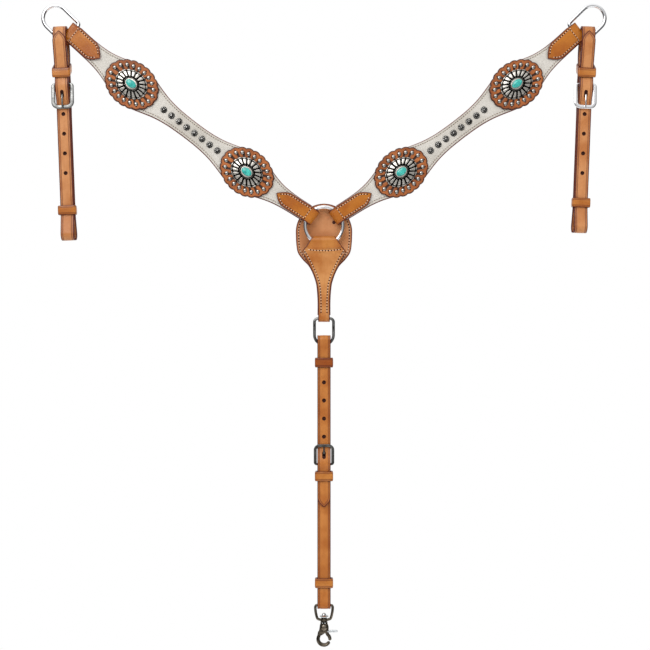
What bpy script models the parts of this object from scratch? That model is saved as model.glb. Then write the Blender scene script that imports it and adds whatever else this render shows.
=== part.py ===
"""A western breast collar: two cowhide wings on a centre ring, a shield, a tie-down and two uptugs.

Metres, +Z up, the front faces -Y. The origin is the centre of the centre ring. The collar hangs as it
does on a horse: the wings rise to the two dee rings, and the tie-down and the uptugs hang straight.
Leather pieces are open surfaces, point(across, along), that Solidify gives their thickness.
"""
import math

import bmesh
import bpy
import numpy as np
from mathutils import Matrix, Vector

# Fits
GAP = 0.0003                 # between neighbours that touch
KEEPER_SIDE_GAP = 0.0007     # between a strap's edge and its keeper

# Straps
STRAP_WIDTH = 0.0159         # five eighths of an inch
STRAP_THICKNESS = 0.0024
KEEPER_THICKNESS = 0.0022
BILLET_POINT = 0.0115        # length of a billet's pointed tip
KEEPER_MARGIN = 0.0010       # straight run of a strap above and below a keeper
TAIL_REST = 0.0025           # what a sewn tail shows past a keeper
HOLE_RADIUS = 0.0021
HOLE_REACH = 0.0035          # of a punch, to both sides of a strap's middle
SPLIT_HOLE_RADIUS = 0.0018   # half the width of the hole that a tongue has drawn out
SPLIT_HOLE_STRETCH = 2.3

# Centre ring
RING_WIRE = 0.0023           # wire radius
RING_RADIUS = 0.0224         # to the wire's centre

# Wings, along an axis through the ring's centre
WING_SLOPE = math.radians(37.3)
WING_START = 0.0265
WING_END = 0.3768
WING_MIDDLE = 0.1988
WING_BOW = 0.0059            # how far the middle hangs below the axis
WING_HALF_INNER = 0.0109     # half-width at the ring
WING_HALF_OUTER = 0.0122     # half-width at the dee
WING_BULGE = 0.0137          # extra half-width under a rosette
BULGE_REACH_END = 0.0232
BULGE_REACH_MIDDLE = 0.0272
LAYER_THICKNESS = 0.0022     # lining, and cowhide

# Tabs folded round the ring and the dees
TAB_THICKNESS = 0.0020
FOLD_ROOM = 0.00035          # between a fold and the wire in it
TAB_POINT = 0.016            # length of the pointed end
INNER_TAB_START = 0.0137
INNER_TAB_LENGTH = 0.055
INNER_TAB_HALF = 0.0097
OUTER_TAB_END = WING_END + 0.0107
OUTER_TAB_LENGTH = 0.053
OUTER_TAB_HALF = 0.0116

# Rosettes, conchos and stones
ROSETTE_SPACING = 0.1734
ROSETTE_LONG = 0.0343
ROSETTE_SHORT = 0.0268
ROSETTE_THICKNESS = 0.0020
SCALLOPS = 20
SCALLOP_DEPTH = 0.0009
CONCHO_LONG = 0.0211
CONCHO_SHORT = 0.0166
CONCHO_HEIGHT = 0.0046
STONE_LONG = 0.0067
STONE_SHORT = 0.0043
STONE_HEIGHT = 0.0028

# Dee rings of the uptugs
DEE_WIRE = 0.00225
DEE_HALF = 0.0150            # from the middle to a leg's centre
DEE_LENGTH = 0.0262          # from the bar to the middle of the arc
DEE_CORNER = 0.0040
DEE_TILT = math.radians(7.0)
DEE_BAR = WING_END + 0.0044  # bar, along the wing's axis
TAB_FOLD = max(RING_WIRE, DEE_WIRE) + FOLD_ROOM

# Shield
PLATE_THICKNESS = 0.0026
PLATE_BACK = 0.0072          # middle of the plate behind the ring
PLATE_TOP_RADIUS = 0.0340
PLATE_TOP_CENTRE = -0.0068
NECK_HALF = 0.0078
NECK_BOTTOM = -0.1070
OVERLAY_THICKNESS = 0.0020
OVERLAY_INSET = 0.0008
OVERLAY_TOP = -0.0257        # at its top corners
OVERLAY_DIP = 0.0019         # how far the top edge dips between them
OVERLAY_BACK_TOP = -0.0850   # end of the part folded up behind the plate
LOOP_FOLD = 0.0036           # inner radius of the fold round the centre ring
LOOP_TOP = -0.0124
LOOP_BOTTOM = -0.0380
LOOP_HALF_TOP = 0.0122
LOOP_WAIST = -0.0165
LOOP_HALF_WAIST = 0.0160
LOOP_HALF_OVERLAY = 0.0221
LOOP_HALF_BOTTOM = 0.0185
SHIELD_PIVOT = -0.0190

# Lower dee
LOWER_DEE_WIRE = 0.0017
LOWER_DEE_HALF = 0.0114
LOWER_DEE_BAR = -0.1113
LOWER_DEE_STRAIGHT = 0.0198  # from the bar to where the arc starts
LOWER_DEE_CORNER = 0.0040

# Tie-down
TIE_TOP = -0.1313
TIE_LOOP = 0.0032            # inner half-gap of the loop on the lower dee
TIE_PIVOT = -0.1405
TIE_KEEPER_1 = -0.1640
TIE_FIRST_HOLE = -0.1879
TIE_HOLE_PITCH = 0.0217
TIE_HOLES = 4
TIE_HEEL = -0.2862           # heel bar of the buckle
TIE_HEEL_DEPTH = 0.0005
TIE_KEEPER_2 = -0.3000
TIE_TIP = -0.3371
TIE_KEEPER_3 = -0.4282
TIE_BOTTOM = -0.4595
TIE_KEEPER_HEIGHT = 0.0116
TIE_BUCKLE_WIDTH = 0.0246
TIE_BUCKLE_LENGTH = 0.0255
TIE_BUCKLE_BAND = 0.0036
TIE_BUCKLE_CORNER = 0.0070    # radius of the far corners

# Uptugs, measured down from the top of the fold
TUG_X = DEE_BAR * math.cos(WING_SLOPE) + 0.01277
TUG_TOP = DEE_BAR * math.sin(WING_SLOPE) + 0.0082
TUG_PIVOT = TUG_TOP - 0.0075    # middle of the dee's wire in the loop
TUG_LEAN = math.radians(2.2)
TUG_DROPS = {"left": 0.2570, "right": 0.2480}
TUG_LOOP = 0.0080            # inner half-gap of the top loop
TUG_BOTTOM_LOOP = 0.0058
TUG_TIP = 0.0076
TUG_KEEPER_UPPER = 0.0564
TUG_KEEPER_HEIGHT = 0.0112
TUG_KEEPER_LOWER = 0.0363    # above the bottom
TUG_HEEL = 0.0691
TUG_HEEL_DEPTH = -0.00135     # of the heel bar
TUG_BUCKLE_WIDTH = 0.0271
TUG_BUCKLE_LENGTH = 0.0317
TUG_BUCKLE_BAND = 0.0048
TUG_BUCKLE_CORNER = 0.0084
TUG_REAR_MERGE = 0.0100      # below the far bar, where the back of the strap meets its front
TUG_FIRST_HOLE = 0.1055
TUG_HOLE_PITCH = 0.0236
TUG_HOLES = 4

# Buckles
FRAME_THICKNESS = 0.0022
HEEL_BAR = 0.0022
BEND_ROOM = 0.0020           # from the far bar's edge to where the billet starts to bend
TONGUE_WIRE = 0.0011
TONGUE_EYE = 0.0031          # radius of the eye's centreline
LAYER = STRAP_THICKNESS + GAP
HEEL_BEND = math.hypot(HEEL_BAR, FRAME_THICKNESS) / 2 + GAP + STRAP_THICKNESS / 2
BILLET_AT_HEEL = -(HEEL_BEND + STRAP_THICKNESS + GAP)    # depth from the heel bar
RAMP_START = HEEL_BEND + STRAP_THICKNESS / 2 + GAP       # where the billet starts to slope back

# Trigger snap
EYE_WIRE = 0.0016
EYE_HALF = 0.0104
EYE_BAR = TIE_BOTTOM + STRAP_THICKNESS + EYE_WIRE + GAP
EYE_DROP = 0.0168
BOSS_RADIUS = 0.0034
BOSS_HEIGHT = 0.0042
POST_RADIUS = 0.0016
POST_HEAD_RADIUS = 0.0032
POST_HEAD_HEIGHT = 0.0030
SNAP_HALF_DEPTH = 0.0036
SNAP_SLOT = 0.0024           # half-width of the trigger's slot
SNAP_PIVOT = -0.4816
HOOK_CENTRE = -0.4958
HOOK_OUTER = 0.0091
HOOK_INNER = 0.0050
HOOK_TIP = 0.0182            # from the rivet to the hook's end face, which the gate meets
RIVET_RADIUS = 0.0014
RIVET_HEAD_RADIUS = 0.0036
RIVET_HEAD_HEIGHT = 0.0007
TRIGGER_FRONT = -0.0020
TRIGGER_BACK = 0.0008
LEVER_REACH = 0.0163
LEVER_HEIGHT = 0.0030
SPRING_WIRE = 0.00035
SPRING_RADIUS = 0.0028

LOOKS = {
    "tan_leather": ((0.55, 0.26, 0.10), 0.45, 0.0),
    "natural_leather": ((0.66, 0.40, 0.22), 0.50, 0.0),
    "dark_leather": ((0.09, 0.03, 0.02), 0.60, 0.0),
    "cowhide": ((0.72, 0.67, 0.60), 0.85, 0.0),
    "bright_chrome": ((0.80, 0.80, 0.80), 0.15, 1.0),
    "antique_silver": ((0.45, 0.44, 0.42), 0.35, 1.0),
    "gunmetal": ((0.16, 0.14, 0.12), 0.35, 1.0),
    "turquoise": ((0.05, 0.55, 0.48), 0.30, 0.0),
}


# Scene and helpers

def clear_scene():
    """Removes every object and makes the two collections."""
    for item in list(bpy.data.objects):
        bpy.data.objects.remove(item, do_unlink=True)
    for name in ("western_breast_collar", "cutters"):
        group = bpy.data.collections.new(name)
        bpy.context.scene.collection.children.link(group)


def finish(look):
    """The Principled material of one finish, made once."""
    material = bpy.data.materials.get(look)
    if material is None:
        colour, roughness, metallic = LOOKS[look]
        material = bpy.data.materials.new(look)
        material.use_nodes = True
        shader = material.node_tree.nodes["Principled BSDF"]
        shader.inputs["Base Color"].default_value = (*colour, 1.0)
        shader.inputs["Roughness"].default_value = roughness
        shader.inputs["Metallic"].default_value = metallic
    return material


def place(name, data, look, parent=None, location=(0, 0, 0), rotation=(0, 0, 0)):
    """An object of the collar, with its finish, under its parent."""
    item = bpy.data.objects.new(name, data)
    bpy.data.collections["western_breast_collar"].objects.link(item)
    item.data.materials.append(finish(look))
    item.parent = parent
    item.location = location
    item.rotation_euler = rotation
    return item


def joint(name, location, parent=None, rotation=(0, 0, 0)):
    """An empty on a joint's axis, given in its parent's own frame."""
    empty = bpy.data.objects.new(name, None)
    empty.empty_display_size = 0.01
    bpy.data.collections["western_breast_collar"].objects.link(empty)
    empty.parent = parent
    empty.location = location
    empty.rotation_euler = rotation
    return empty


def shift(points, offset):
    """The points moved by an offset."""
    return [tuple(np.add(p, offset)) for p in points]


def arc(centre, radius, start, end, count):
    """Points on an arc, from one angle to another in degrees."""
    angles = np.radians(np.linspace(start, end, count))
    return [(centre[0] + radius * math.cos(a), centre[1] + radius * math.sin(a)) for a in angles]


def smooth(points, per_span=12):
    """A Catmull-Rom curve through 2D points."""
    p = np.array([points[0], *points, points[-1]], dtype=float)
    found = []
    for a, b, c, d in zip(p[:-3], p[1:-2], p[2:-1], p[3:]):
        for t in np.linspace(0, 1, per_span, endpoint=False):
            found.append(0.5 * (2 * b + (c - a) * t + (2 * a - 5 * b + 4 * c - d) * t**2
                                + (3 * b - a - 3 * c + d) * t**3))
    return np.array([*found, p[-1]])


def rounded(points, reach=0.0030, closest=0.0003):
    """A path through 2D points, its sharper corners rounded over at most reach on both sides."""
    p = np.array(points, dtype=float)
    found = [p[0]]
    for before, corner, after in zip(p[:-2], p[1:-1], p[2:]):
        back, on = before - corner, after - corner
        a, b = np.linalg.norm(back), np.linalg.norm(on)
        if back @ on < -0.96 * a * b:
            found.append(corner)
            continue
        start = corner + back / a * min(reach, a / 2)
        end = corner + on / b * min(reach, b / 2)
        for t in np.linspace(0, 1, 4):
            point = (1 - t) ** 2 * start + 2 * t * (1 - t) * corner + t * t * end
            if np.linalg.norm(point - found[-1]) > closest:
                found.append(point)
    return np.array([*found, p[-1]])


def sheet(name, rows, thickness, look, parent=None, location=(0, 0, 0)):
    """Leather: an open surface through rows of points, thickened both ways by Solidify."""
    across = len(rows[0])
    verts = [tuple(p) for row in rows for p in row]
    faces = []
    for i in range(len(rows) - 1):
        for j in range(across - 1):
            k = i * across + j
            faces.append((k, k + 1, k + across + 1, k + across))
    data = bpy.data.meshes.new(name)
    data.from_pydata(verts, [], faces)
    item = place(name, data, look, parent, location)
    wall = item.modifiers.new("thickness", "SOLIDIFY")
    wall.thickness = thickness
    wall.offset = 0.0
    wall.use_even_offset = True
    return item


def strap(name, path, half_width, thickness, look, parent=None, location=(0, 0, 0)):
    """A strap along a path of (depth, height), as wide as half_width(distance along) says."""
    steps = np.linalg.norm(np.diff(path, axis=0), axis=1)
    along = np.concatenate([[0], np.cumsum(steps)])
    rows = []
    for (y, z), s in zip(path, along):
        half = half_width(s, along[-1])
        rows.append([(-half, y, z), (half, y, z)])
    return sheet(name, rows, thickness, look, parent, location)


def pointed(half, point, left, blunt=0.0006):
    """Half-width of a strap with a pointed end, at a distance from that end."""
    if left >= point:
        return half
    return blunt + (half - blunt) * (1 - (1 - left / point) ** 1.9)


def wire(name, points, radius, look, parent=None, location=(0, 0, 0), cyclic=True, rotation=(0, 0, 0)):
    """Round wire along points, closed on itself or with filled caps."""
    curve = bpy.data.curves.new(name, "CURVE")
    curve.dimensions = "3D"
    curve.bevel_depth = radius
    curve.bevel_resolution = 2
    curve.use_fill_caps = not cyclic
    line = curve.splines.new("POLY")
    line.points.add(len(points) - 1)
    for target, p in zip(line.points, points):
        target.co = (*p, 1.0)
    line.use_cyclic_u = cyclic
    return place(name, curve, look, parent, location, rotation)


def plate(name, outlines, thickness, look, parent=None, location=(0, 0, 0), rotation=(0, 0, 0)):
    """A flat plate from closed outlines of (x, y), the second and later ones holes."""
    curve = bpy.data.curves.new(name, "CURVE")
    curve.dimensions = "2D"
    curve.fill_mode = "BOTH"
    curve.extrude = thickness / 2
    for outline in outlines:
        line = curve.splines.new("POLY")
        line.points.add(len(outline) - 1)
        for target, (x, y) in zip(line.points, outline):
            target.co = (x, y, 0.0, 1.0)
        line.use_cyclic_u = True
    return place(name, curve, look, parent, location, rotation)


def rounded_box(width, height, radius, lower=None, count=4):
    """The outline of a rectangle round the origin, its lower corners rounder if lower is given."""
    points = []
    for (right, up), start in zip(((1, 1), (-1, 1), (-1, -1), (1, -1)), (0, 90, 180, 270)):
        bend = lower if lower and up < 0 else radius
        centre = (right * (width / 2 - bend), up * (height / 2 - bend))
        points += arc(centre, bend, start, start + 90, count)
    return points


def turned(name, profile, look, parent=None, location=(0, 0, 0), rotation=(0, 0, 0), stretch=1.0,
           steps=32):
    """A profile of (radius, height) turned about Z, its Y then scaled by stretch."""
    data = bpy.data.meshes.new(name)
    data.from_pydata([(r, 0, z) for r, z in profile], [(i, i + 1) for i in range(len(profile) - 1)], [])
    item = place(name, data, look, parent, location, rotation)
    item.scale = (1, stretch, 1)
    lathe = item.modifiers.new("turn", "SCREW")
    lathe.steps = steps
    lathe.render_steps = steps
    lathe.use_merge_vertices = True
    lathe.merge_threshold = 0.00002
    return item


def to_mesh(item):
    """The same object as a plain mesh with welded caps, at the same place."""
    bpy.context.view_layer.update()
    evaluated = item.evaluated_get(bpy.context.evaluated_depsgraph_get())
    data = bpy.data.meshes.new_from_object(evaluated)
    build = bmesh.new()
    build.from_mesh(data)
    bmesh.ops.remove_doubles(build, verts=build.verts, dist=0.000001)
    bmesh.ops.recalc_face_normals(build, faces=build.faces)
    build.to_mesh(data)
    build.free()
    name = item.name
    parent, matrix = item.parent, item.matrix_local.copy()
    group = item.users_collection[0]
    bpy.data.objects.remove(item, do_unlink=True)
    fresh = bpy.data.objects.new(name, data)
    fresh.name = name
    group.objects.link(fresh)
    fresh.parent = parent
    fresh.matrix_local = matrix
    return fresh


def cutter(item):
    """Turns an object into a hidden tool for a Boolean."""
    item.hide_render = True
    item.display_type = "WIRE"
    bpy.data.collections["western_breast_collar"].objects.unlink(item)
    bpy.data.collections["cutters"].objects.link(item)
    return item


def cut(target, tool, operation="DIFFERENCE"):
    """Cuts the target with the tool, or joins the tool to it."""
    step = target.modifiers.new(tool.name, "BOOLEAN")
    step.operation = operation
    step.solver = "EXACT"
    step.object = tool


def block(name, low, high, parent=None):
    """A box between two corners, as a cutter."""
    build = bmesh.new()
    bmesh.ops.create_cube(build, size=1.0)
    size = np.subtract(high, low)
    bmesh.ops.scale(build, vec=Vector(size), verts=build.verts)
    bmesh.ops.translate(build, vec=Vector(np.add(high, low) / 2), verts=build.verts)
    data = bpy.data.meshes.new(name)
    build.to_mesh(data)
    build.free()
    return cutter(place(name, data, "dark_leather", parent))


def drill(name, centre, radius, low, high, parent=None, stretch=1.0, sides=16):
    """A round bar along Y from low to high at centre (x, z), as a cutter; stretch lengthens it in Z."""
    build = bmesh.new()
    bmesh.ops.create_cone(build, cap_ends=True, segments=sides, radius1=radius, radius2=radius,
                          depth=high - low)
    bmesh.ops.rotate(build, matrix=Matrix.Rotation(math.pi / 2, 3, "X"), verts=build.verts)
    bmesh.ops.scale(build, vec=Vector((1, 1, stretch)), verts=build.verts)
    middle = Vector((centre[0], (low + high) / 2, centre[1]))
    bmesh.ops.translate(build, vec=middle, verts=build.verts)
    data = bpy.data.meshes.new(name)
    build.to_mesh(data)
    build.free()
    return cutter(place(name, data, "dark_leather", parent))


UPRIGHT = (math.pi / 2, 0, 0)    # stands a flat plate up, its y along Z and its front towards -Y


# Wings

def wing_half(t):
    """Half-width of a wing at a distance t along its axis: a taper, and a bell under each rosette."""
    share = (t - WING_START) / (WING_END - WING_START)
    half = WING_HALF_INNER + (WING_HALF_OUTER - WING_HALF_INNER) * share
    for side in (-1, 1):
        off = (t - WING_MIDDLE) * side - ROSETTE_SPACING / 2
        reach = BULGE_REACH_END if off > 0 else BULGE_REACH_MIDDLE
        half += WING_BULGE * math.exp(-0.5 * (off / reach) ** 2)
    return half


def wing_line(t):
    """How far the middle line of a wing lies below its axis."""
    share = 2 * (t - WING_MIDDLE) / (WING_END - WING_START)
    return -WING_BOW * max(0.0, 1 - abs(share) ** 3)


def wing_layer(name, depth, look, parent, up):
    """One full layer of a wing, the lining or the cowhide."""
    rows = []
    for t in np.linspace(WING_START, WING_END, 56):
        half, line = wing_half(t), wing_line(t)
        rows.append([(t, depth, up * (line + side * half)) for side in (-1, 1)])
    return sheet(name, rows, LAYER_THICKNESS, look, parent)


def tab(name, fold_face, outward, length, half, parent, up):
    """A strip folded round a wire, its two pointed ends on the front and the back of the wing."""
    bend = TAB_FOLD + TAB_THICKNESS / 2
    centre = fold_face - outward * (TAB_THICKNESS / 2 + bend)
    tip = fold_face - outward * length
    front = [(t, -bend) for t in np.linspace(tip, tip + outward * TAB_POINT, 9)]
    turn = [(centre + outward * bend * math.sin(a), -bend * math.cos(a))
            for a in np.linspace(0, math.pi, 13)]
    path = front + turn + [(t, -y) for t, y in reversed(front)]
    rows = []
    for t, y in path:
        side = pointed(half, TAB_POINT, abs(t - tip))
        rows.append([(t, y, up * (wing_line(t) + k * side)) for k in (-1, 1)])
    return sheet(name, rows, TAB_THICKNESS, "tan_leather", parent)


def rosette(prefix, t, parent, up):
    """The scalloped leather oval, its silver concho and the stone, in front of the cowhide."""
    centre = (t, up * wing_line(t))
    outline = []
    for a in np.linspace(0, 2 * math.pi, 4 * SCALLOPS, endpoint=False):
        lobe = SCALLOP_DEPTH * abs(math.sin(SCALLOPS * a / 2))
        outline.append(((ROSETTE_LONG + lobe) * math.cos(a), (ROSETTE_SHORT + lobe) * math.sin(a)))
    depth = -(GAP / 2 + LAYER_THICKNESS + GAP + ROSETTE_THICKNESS / 2)
    plate(f"{prefix}_rosette", [outline], ROSETTE_THICKNESS, "tan_leather", parent,
          (centre[0], depth, centre[1]), UPRIGHT)
    face = depth - ROSETTE_THICKNESS / 2 - GAP
    seat = STONE_LONG * 1.12
    dome = [(0, CONCHO_HEIGHT), (seat, CONCHO_HEIGHT), (seat * 1.3, CONCHO_HEIGHT * 0.93),
            (CONCHO_LONG * 0.72, CONCHO_HEIGHT * 0.72), (CONCHO_LONG * 0.93, CONCHO_HEIGHT * 0.34),
            (CONCHO_LONG, CONCHO_HEIGHT * 0.22), (CONCHO_LONG, 0), (0, 0)]
    turned(f"{prefix}_concho", dome, "antique_silver", parent, (centre[0], face, centre[1]), UPRIGHT,
           CONCHO_SHORT / CONCHO_LONG, 28)
    top = face - CONCHO_HEIGHT - GAP
    cabochon = [(STONE_LONG * math.sin(a), STONE_HEIGHT * math.cos(a))
                for a in np.linspace(0, math.pi / 2, 6)]
    turned(f"{prefix}_stone", [*cabochon, (0, 0)], "turquoise", parent, (centre[0], top, centre[1]),
           UPRIGHT, STONE_SHORT / STONE_LONG, 16)


def wing(side):
    """Everything that is sewn or riveted into one wing."""
    up = 1 if side == "right" else -1
    turn = -WING_SLOPE if side == "right" else WING_SLOPE - math.pi
    frame = joint(f"{side}_wing_axis", (0, 0, 0), None, (0, turn, 0))
    layer = (GAP + LAYER_THICKNESS) / 2
    wing_layer(f"{side}_wing_lining", layer, "dark_leather", frame, up)
    wing_layer(f"{side}_wing_cowhide", -layer, "cowhide", frame, up)
    tab(f"{side}_inner_tab", INNER_TAB_START, -1, INNER_TAB_LENGTH, INNER_TAB_HALF, frame, up)
    tab(f"{side}_outer_tab", OUTER_TAB_END, 1, OUTER_TAB_LENGTH, OUTER_TAB_HALF, frame, up)
    rosette(f"{side}_inner", WING_MIDDLE - ROSETTE_SPACING / 2, frame, up)
    rosette(f"{side}_outer", WING_MIDDLE + ROSETTE_SPACING / 2, frame, up)
    return frame


def dee_ring(side, frame):
    """The dee ring in a wing's outer tab; the empty it hangs from is on its bar."""
    up = 1 if side == "right" else -1
    pivot = joint(f"{side}_dee_joint", (DEE_BAR, 0, up * wing_line(DEE_BAR)), frame,
                  (0, -up * DEE_TILT, 0))
    straight_half = DEE_HALF - DEE_CORNER
    points = arc((DEE_LENGTH, 0), DEE_HALF, -90, 90, 17)
    points += arc((DEE_CORNER, straight_half), DEE_CORNER, 90, 180, 5)
    points += arc((DEE_CORNER, -straight_half), DEE_CORNER, 180, 270, 5)
    wire(f"{side}_dee_ring", [(x, 0, z) for x, z in points], DEE_WIRE, "bright_chrome", pivot)
    return pivot


# Shield and lower dee

def centre_ring(parent):
    """The steel ring that joins the wings and the shield."""
    bpy.ops.mesh.primitive_torus_add(major_radius=RING_RADIUS, minor_radius=RING_WIRE,
                                     major_segments=40, minor_segments=12, rotation=UPRIGHT)
    ring = bpy.context.object
    for group in list(ring.users_collection):
        group.objects.unlink(ring)
    bpy.data.collections["western_breast_collar"].objects.link(ring)
    ring.name = "centre_ring"
    ring.data.materials.append(finish("bright_chrome"))
    ring.parent = parent


def plate_side():
    """The shield plate's right edge as (half-width, height), from its top to its neck."""
    top = [(PLATE_TOP_RADIUS * math.sin(a), PLATE_TOP_CENTRE + PLATE_TOP_RADIUS * math.cos(a))
           for a in np.linspace(0.05, math.pi / 2, 12)]
    sides = smooth([(PLATE_TOP_RADIUS, PLATE_TOP_CENTRE), (0.0335, -0.0200), (0.0316, -0.0315),
                    (0.0255, -0.0405), (0.0189, -0.0475), (0.0143, -0.0556), (0.0108, -0.0650),
                    (0.0090, -0.0730), (NECK_HALF, -0.0890), (NECK_HALF, NECK_BOTTOM)], 3)
    return np.array([*top, *sides[1:]])


def plate_depth(z):
    """Where the middle of the plate lies: behind the ring at the top, in line with the dee below."""
    share = np.clip((-0.022 - z) / 0.040, 0, 1)
    return PLATE_BACK * (1 - share * share * (3 - 2 * share))


def shield(parent):
    """The back plate, the loop round the ring and the front overlay that folds round the lower dee."""
    home = back_to_origin(parent)
    rows = []
    for half, z in plate_side():
        rows.append([(k * half, plate_depth(z), z) for k in (-1, -0.5, 0, 0.5, 1)])
    sheet("shield_plate", rows, PLATE_THICKNESS, "natural_leather", parent, home)
    ring_loop(parent, home)
    overlay(parent, home)


def overlay_half(z):
    """Half-width of the overlay: wide corners under the ring, then the plate's neck less an inset."""
    side = plate_side()[::-1]
    neck = np.interp(z, side[:, 1], side[:, 0]) - OVERLAY_INSET
    corner = np.interp(z, [-0.0600, -0.0530, -0.0428, -0.0312, -0.0257],
                       [0.0500, 0.0148, 0.0198, 0.0266, 0.0223])
    return min(neck, corner)


def overlay_depth(z):
    """Where the middle of the overlay lies: in front of the loop at the top, against the plate below."""
    raised = LOOP_FOLD + TAB_THICKNESS + GAP + OVERLAY_THICKNESS / 2
    base = PLATE_THICKNESS / 2 + GAP + OVERLAY_THICKNESS / 2
    share = np.clip((OVERLAY_TOP - z) / 0.032, 0, 1)
    return -raised + (raised - base) * share * share * (3 - 2 * share)


def overlay(parent, home):
    """The front overlay: over the loop, down the neck, round the dee's bar and up the back."""
    rows = []
    for z in [OVERLAY_TOP, -0.0290, -0.0312, -0.0370, -0.0428, -0.0480, -0.0530, -0.0580, -0.0650,
              -0.0730, -0.0820, -0.0900, NECK_BOTTOM + 0.0030]:
        half, dip = overlay_half(z), OVERLAY_DIP * (z == OVERLAY_TOP)
        rows.append([(k * half, overlay_depth(z), z - dip * (1 - k * k)) for k in (-1, -0.5, 0, 0.5, 1)])
    half = NECK_HALF - OVERLAY_INSET
    fold = LOWER_DEE_WIRE + GAP + OVERLAY_THICKNESS / 2
    turn = [(-fold * math.cos(a), LOWER_DEE_BAR - fold * math.sin(a)) for a in np.linspace(0, math.pi, 9)]
    behind = -overlay_depth(NECK_BOTTOM)
    for y, z in [*turn, (behind, NECK_BOTTOM + 0.0030), (behind, OVERLAY_BACK_TOP)]:
        rows.append([(k * half, y, z) for k in (-1, -0.5, 0, 0.5, 1)])
    sheet("shield_overlay", rows, OVERLAY_THICKNESS, "tan_leather", parent, home)


def ring_loop(parent, home):
    """The strip folded round the bottom of the centre ring, its ends between plate and overlay."""
    bend = LOOP_FOLD + TAB_THICKNESS / 2
    centre = LOOP_TOP - TAB_THICKNESS / 2 - bend
    apart = (PLATE_THICKNESS + TAB_THICKNESS) / 2 + 2 * GAP
    near = (OVERLAY_THICKNESS + TAB_THICKNESS) / 2 + 2 * GAP
    heights = np.linspace(LOOP_BOTTOM, centre - 0.0020, 7)
    path = [(max(-bend, overlay_depth(z) + near), z) for z in heights]
    path += [(-bend * math.cos(a), centre + bend * math.sin(a)) for a in np.linspace(0, math.pi, 13)]
    path += [(min(bend, plate_depth(z) - apart), z) for z in heights[::-1]]
    rows = []
    for y, z in path:
        half = np.interp(z, [LOOP_BOTTOM, OVERLAY_TOP, LOOP_WAIST, LOOP_TOP],
                         [LOOP_HALF_BOTTOM, LOOP_HALF_OVERLAY, LOOP_HALF_WAIST, LOOP_HALF_TOP])
        rows.append([(k * half, y, z) for k in (-1, 0, 1)])
    sheet("shield_ring_loop", rows, TAB_THICKNESS, "tan_leather", parent, home)


def lower_dee(parent):
    """The small dee between the shield and the tie-down, its origin on its bar."""
    straight = LOWER_DEE_HALF - LOWER_DEE_CORNER
    points = arc((0, -LOWER_DEE_STRAIGHT), LOWER_DEE_HALF, 180, 360, 17)
    points += arc((straight, -LOWER_DEE_CORNER), LOWER_DEE_CORNER, 0, 90, 5)
    points += arc((-straight, -LOWER_DEE_CORNER), LOWER_DEE_CORNER, 90, 180, 5)
    return wire("lower_dee", [(x, 0, z) for x, z in points], LOWER_DEE_WIRE, "antique_silver", parent)


# Straps with buckles

def keeper(name, length, front, back, parent, height):
    """A leather band round a strap's layers, which lie between the depths front and back."""
    width = STRAP_WIDTH + 2 * KEEPER_SIDE_GAP
    depth = back - front + 2 * GAP
    outer = rounded_box(width + 2 * KEEPER_THICKNESS, depth + 2 * KEEPER_THICKNESS, 0.0022)
    inner = rounded_box(width, depth, 0.0005, count=3)
    return plate(name, [outer, inner], length, "tan_leather", parent, (0, (front + back) / 2, height))


def billet_depth(d, far):
    """Depth of the billet behind or in front of a buckle, d along the frame from the heel bar.

    It lies in front of the heel bar's fold and slopes back to pass behind the far bar.
    """
    share = np.clip((d - RAMP_START) / (far["top"] - RAMP_START), 0, 1)
    return BILLET_AT_HEEL + (far["billet"] - BILLET_AT_HEEL) * share


def far_bar(width, length, band, corner, billet):
    """Places along a buckle, from its heel bar: the far bar's top edge and middle, its depth and tilt."""
    middle = length - HEEL_BAR / 2 - band / 2
    depth = billet - STRAP_THICKNESS / 2 - GAP - FRAME_THICKNESS / 2
    tilt = math.atan2(-depth, middle)
    depth -= band / 2 * math.tan(tilt) + GAP / 3
    return {"width": width, "length": length, "band": band, "corner": corner, "billet": billet,
            "middle": middle, "top": middle - band / 2 - BEND_ROOM, "depth": depth,
            "tilt": math.atan2(-depth, middle)}


def buckle(prefix, far, heel, hole, look, parent, turn=0.0):
    """A heel-bar buckle: its flat frame and its tongue, which hangs from the heel bar.

    In its own frame the far bar is below the heel bar, and turn swings it round Y.
    """
    at = joint(f"{prefix}_heel", heel, parent, (0, turn, 0))
    corner, far_corner = far["band"] * 0.95, far["corner"]
    outer = rounded_box(far["width"], far["length"], corner, far_corner, 6)
    outer = shift(outer, (0, HEEL_BAR / 2 - far["length"] / 2))
    opening = far["length"] - HEEL_BAR - far["band"]
    inner = rounded_box(far["width"] - 2 * far["band"], opening, far["band"] * 0.3,
                        far_corner - far["band"], 6)
    inner = shift(inner, (0, -HEEL_BAR / 2 - opening / 2))
    plate(f"{prefix}_frame", [outer, inner], FRAME_THICKNESS, look, at, (0, 0, 0),
          (math.pi / 2 - far["tilt"], 0, 0))
    eye = arc((0, 0), TONGUE_EYE, -70, 180, 15)
    middle = billet_depth(hole, far)
    rest = far["depth"] - FRAME_THICKNESS / 2 - GAP - TONGUE_WIRE - 0.0003
    route = [eye[-1], (middle + 0.0021, -hole + 0.0034), (middle - 0.0021, -hole - 0.0034),
             (rest, -far["middle"] - 0.0006)]
    line = [*eye[:-1], *smooth(route, 4)]
    wire(f"{prefix}_tongue", [(0, y, z) for y, z in line], TONGUE_WIRE, look, at, cyclic=False)
    return at


def slot_cutter(name, at):
    """The slot in a strap's fold that leaves room for the tongue's eye."""
    half = TONGUE_WIRE + 2 * GAP
    reach = RAMP_START - GAP / 2
    return block(name, (-half, -reach, -reach), (half, reach, reach), at)


# Uptugs

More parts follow.
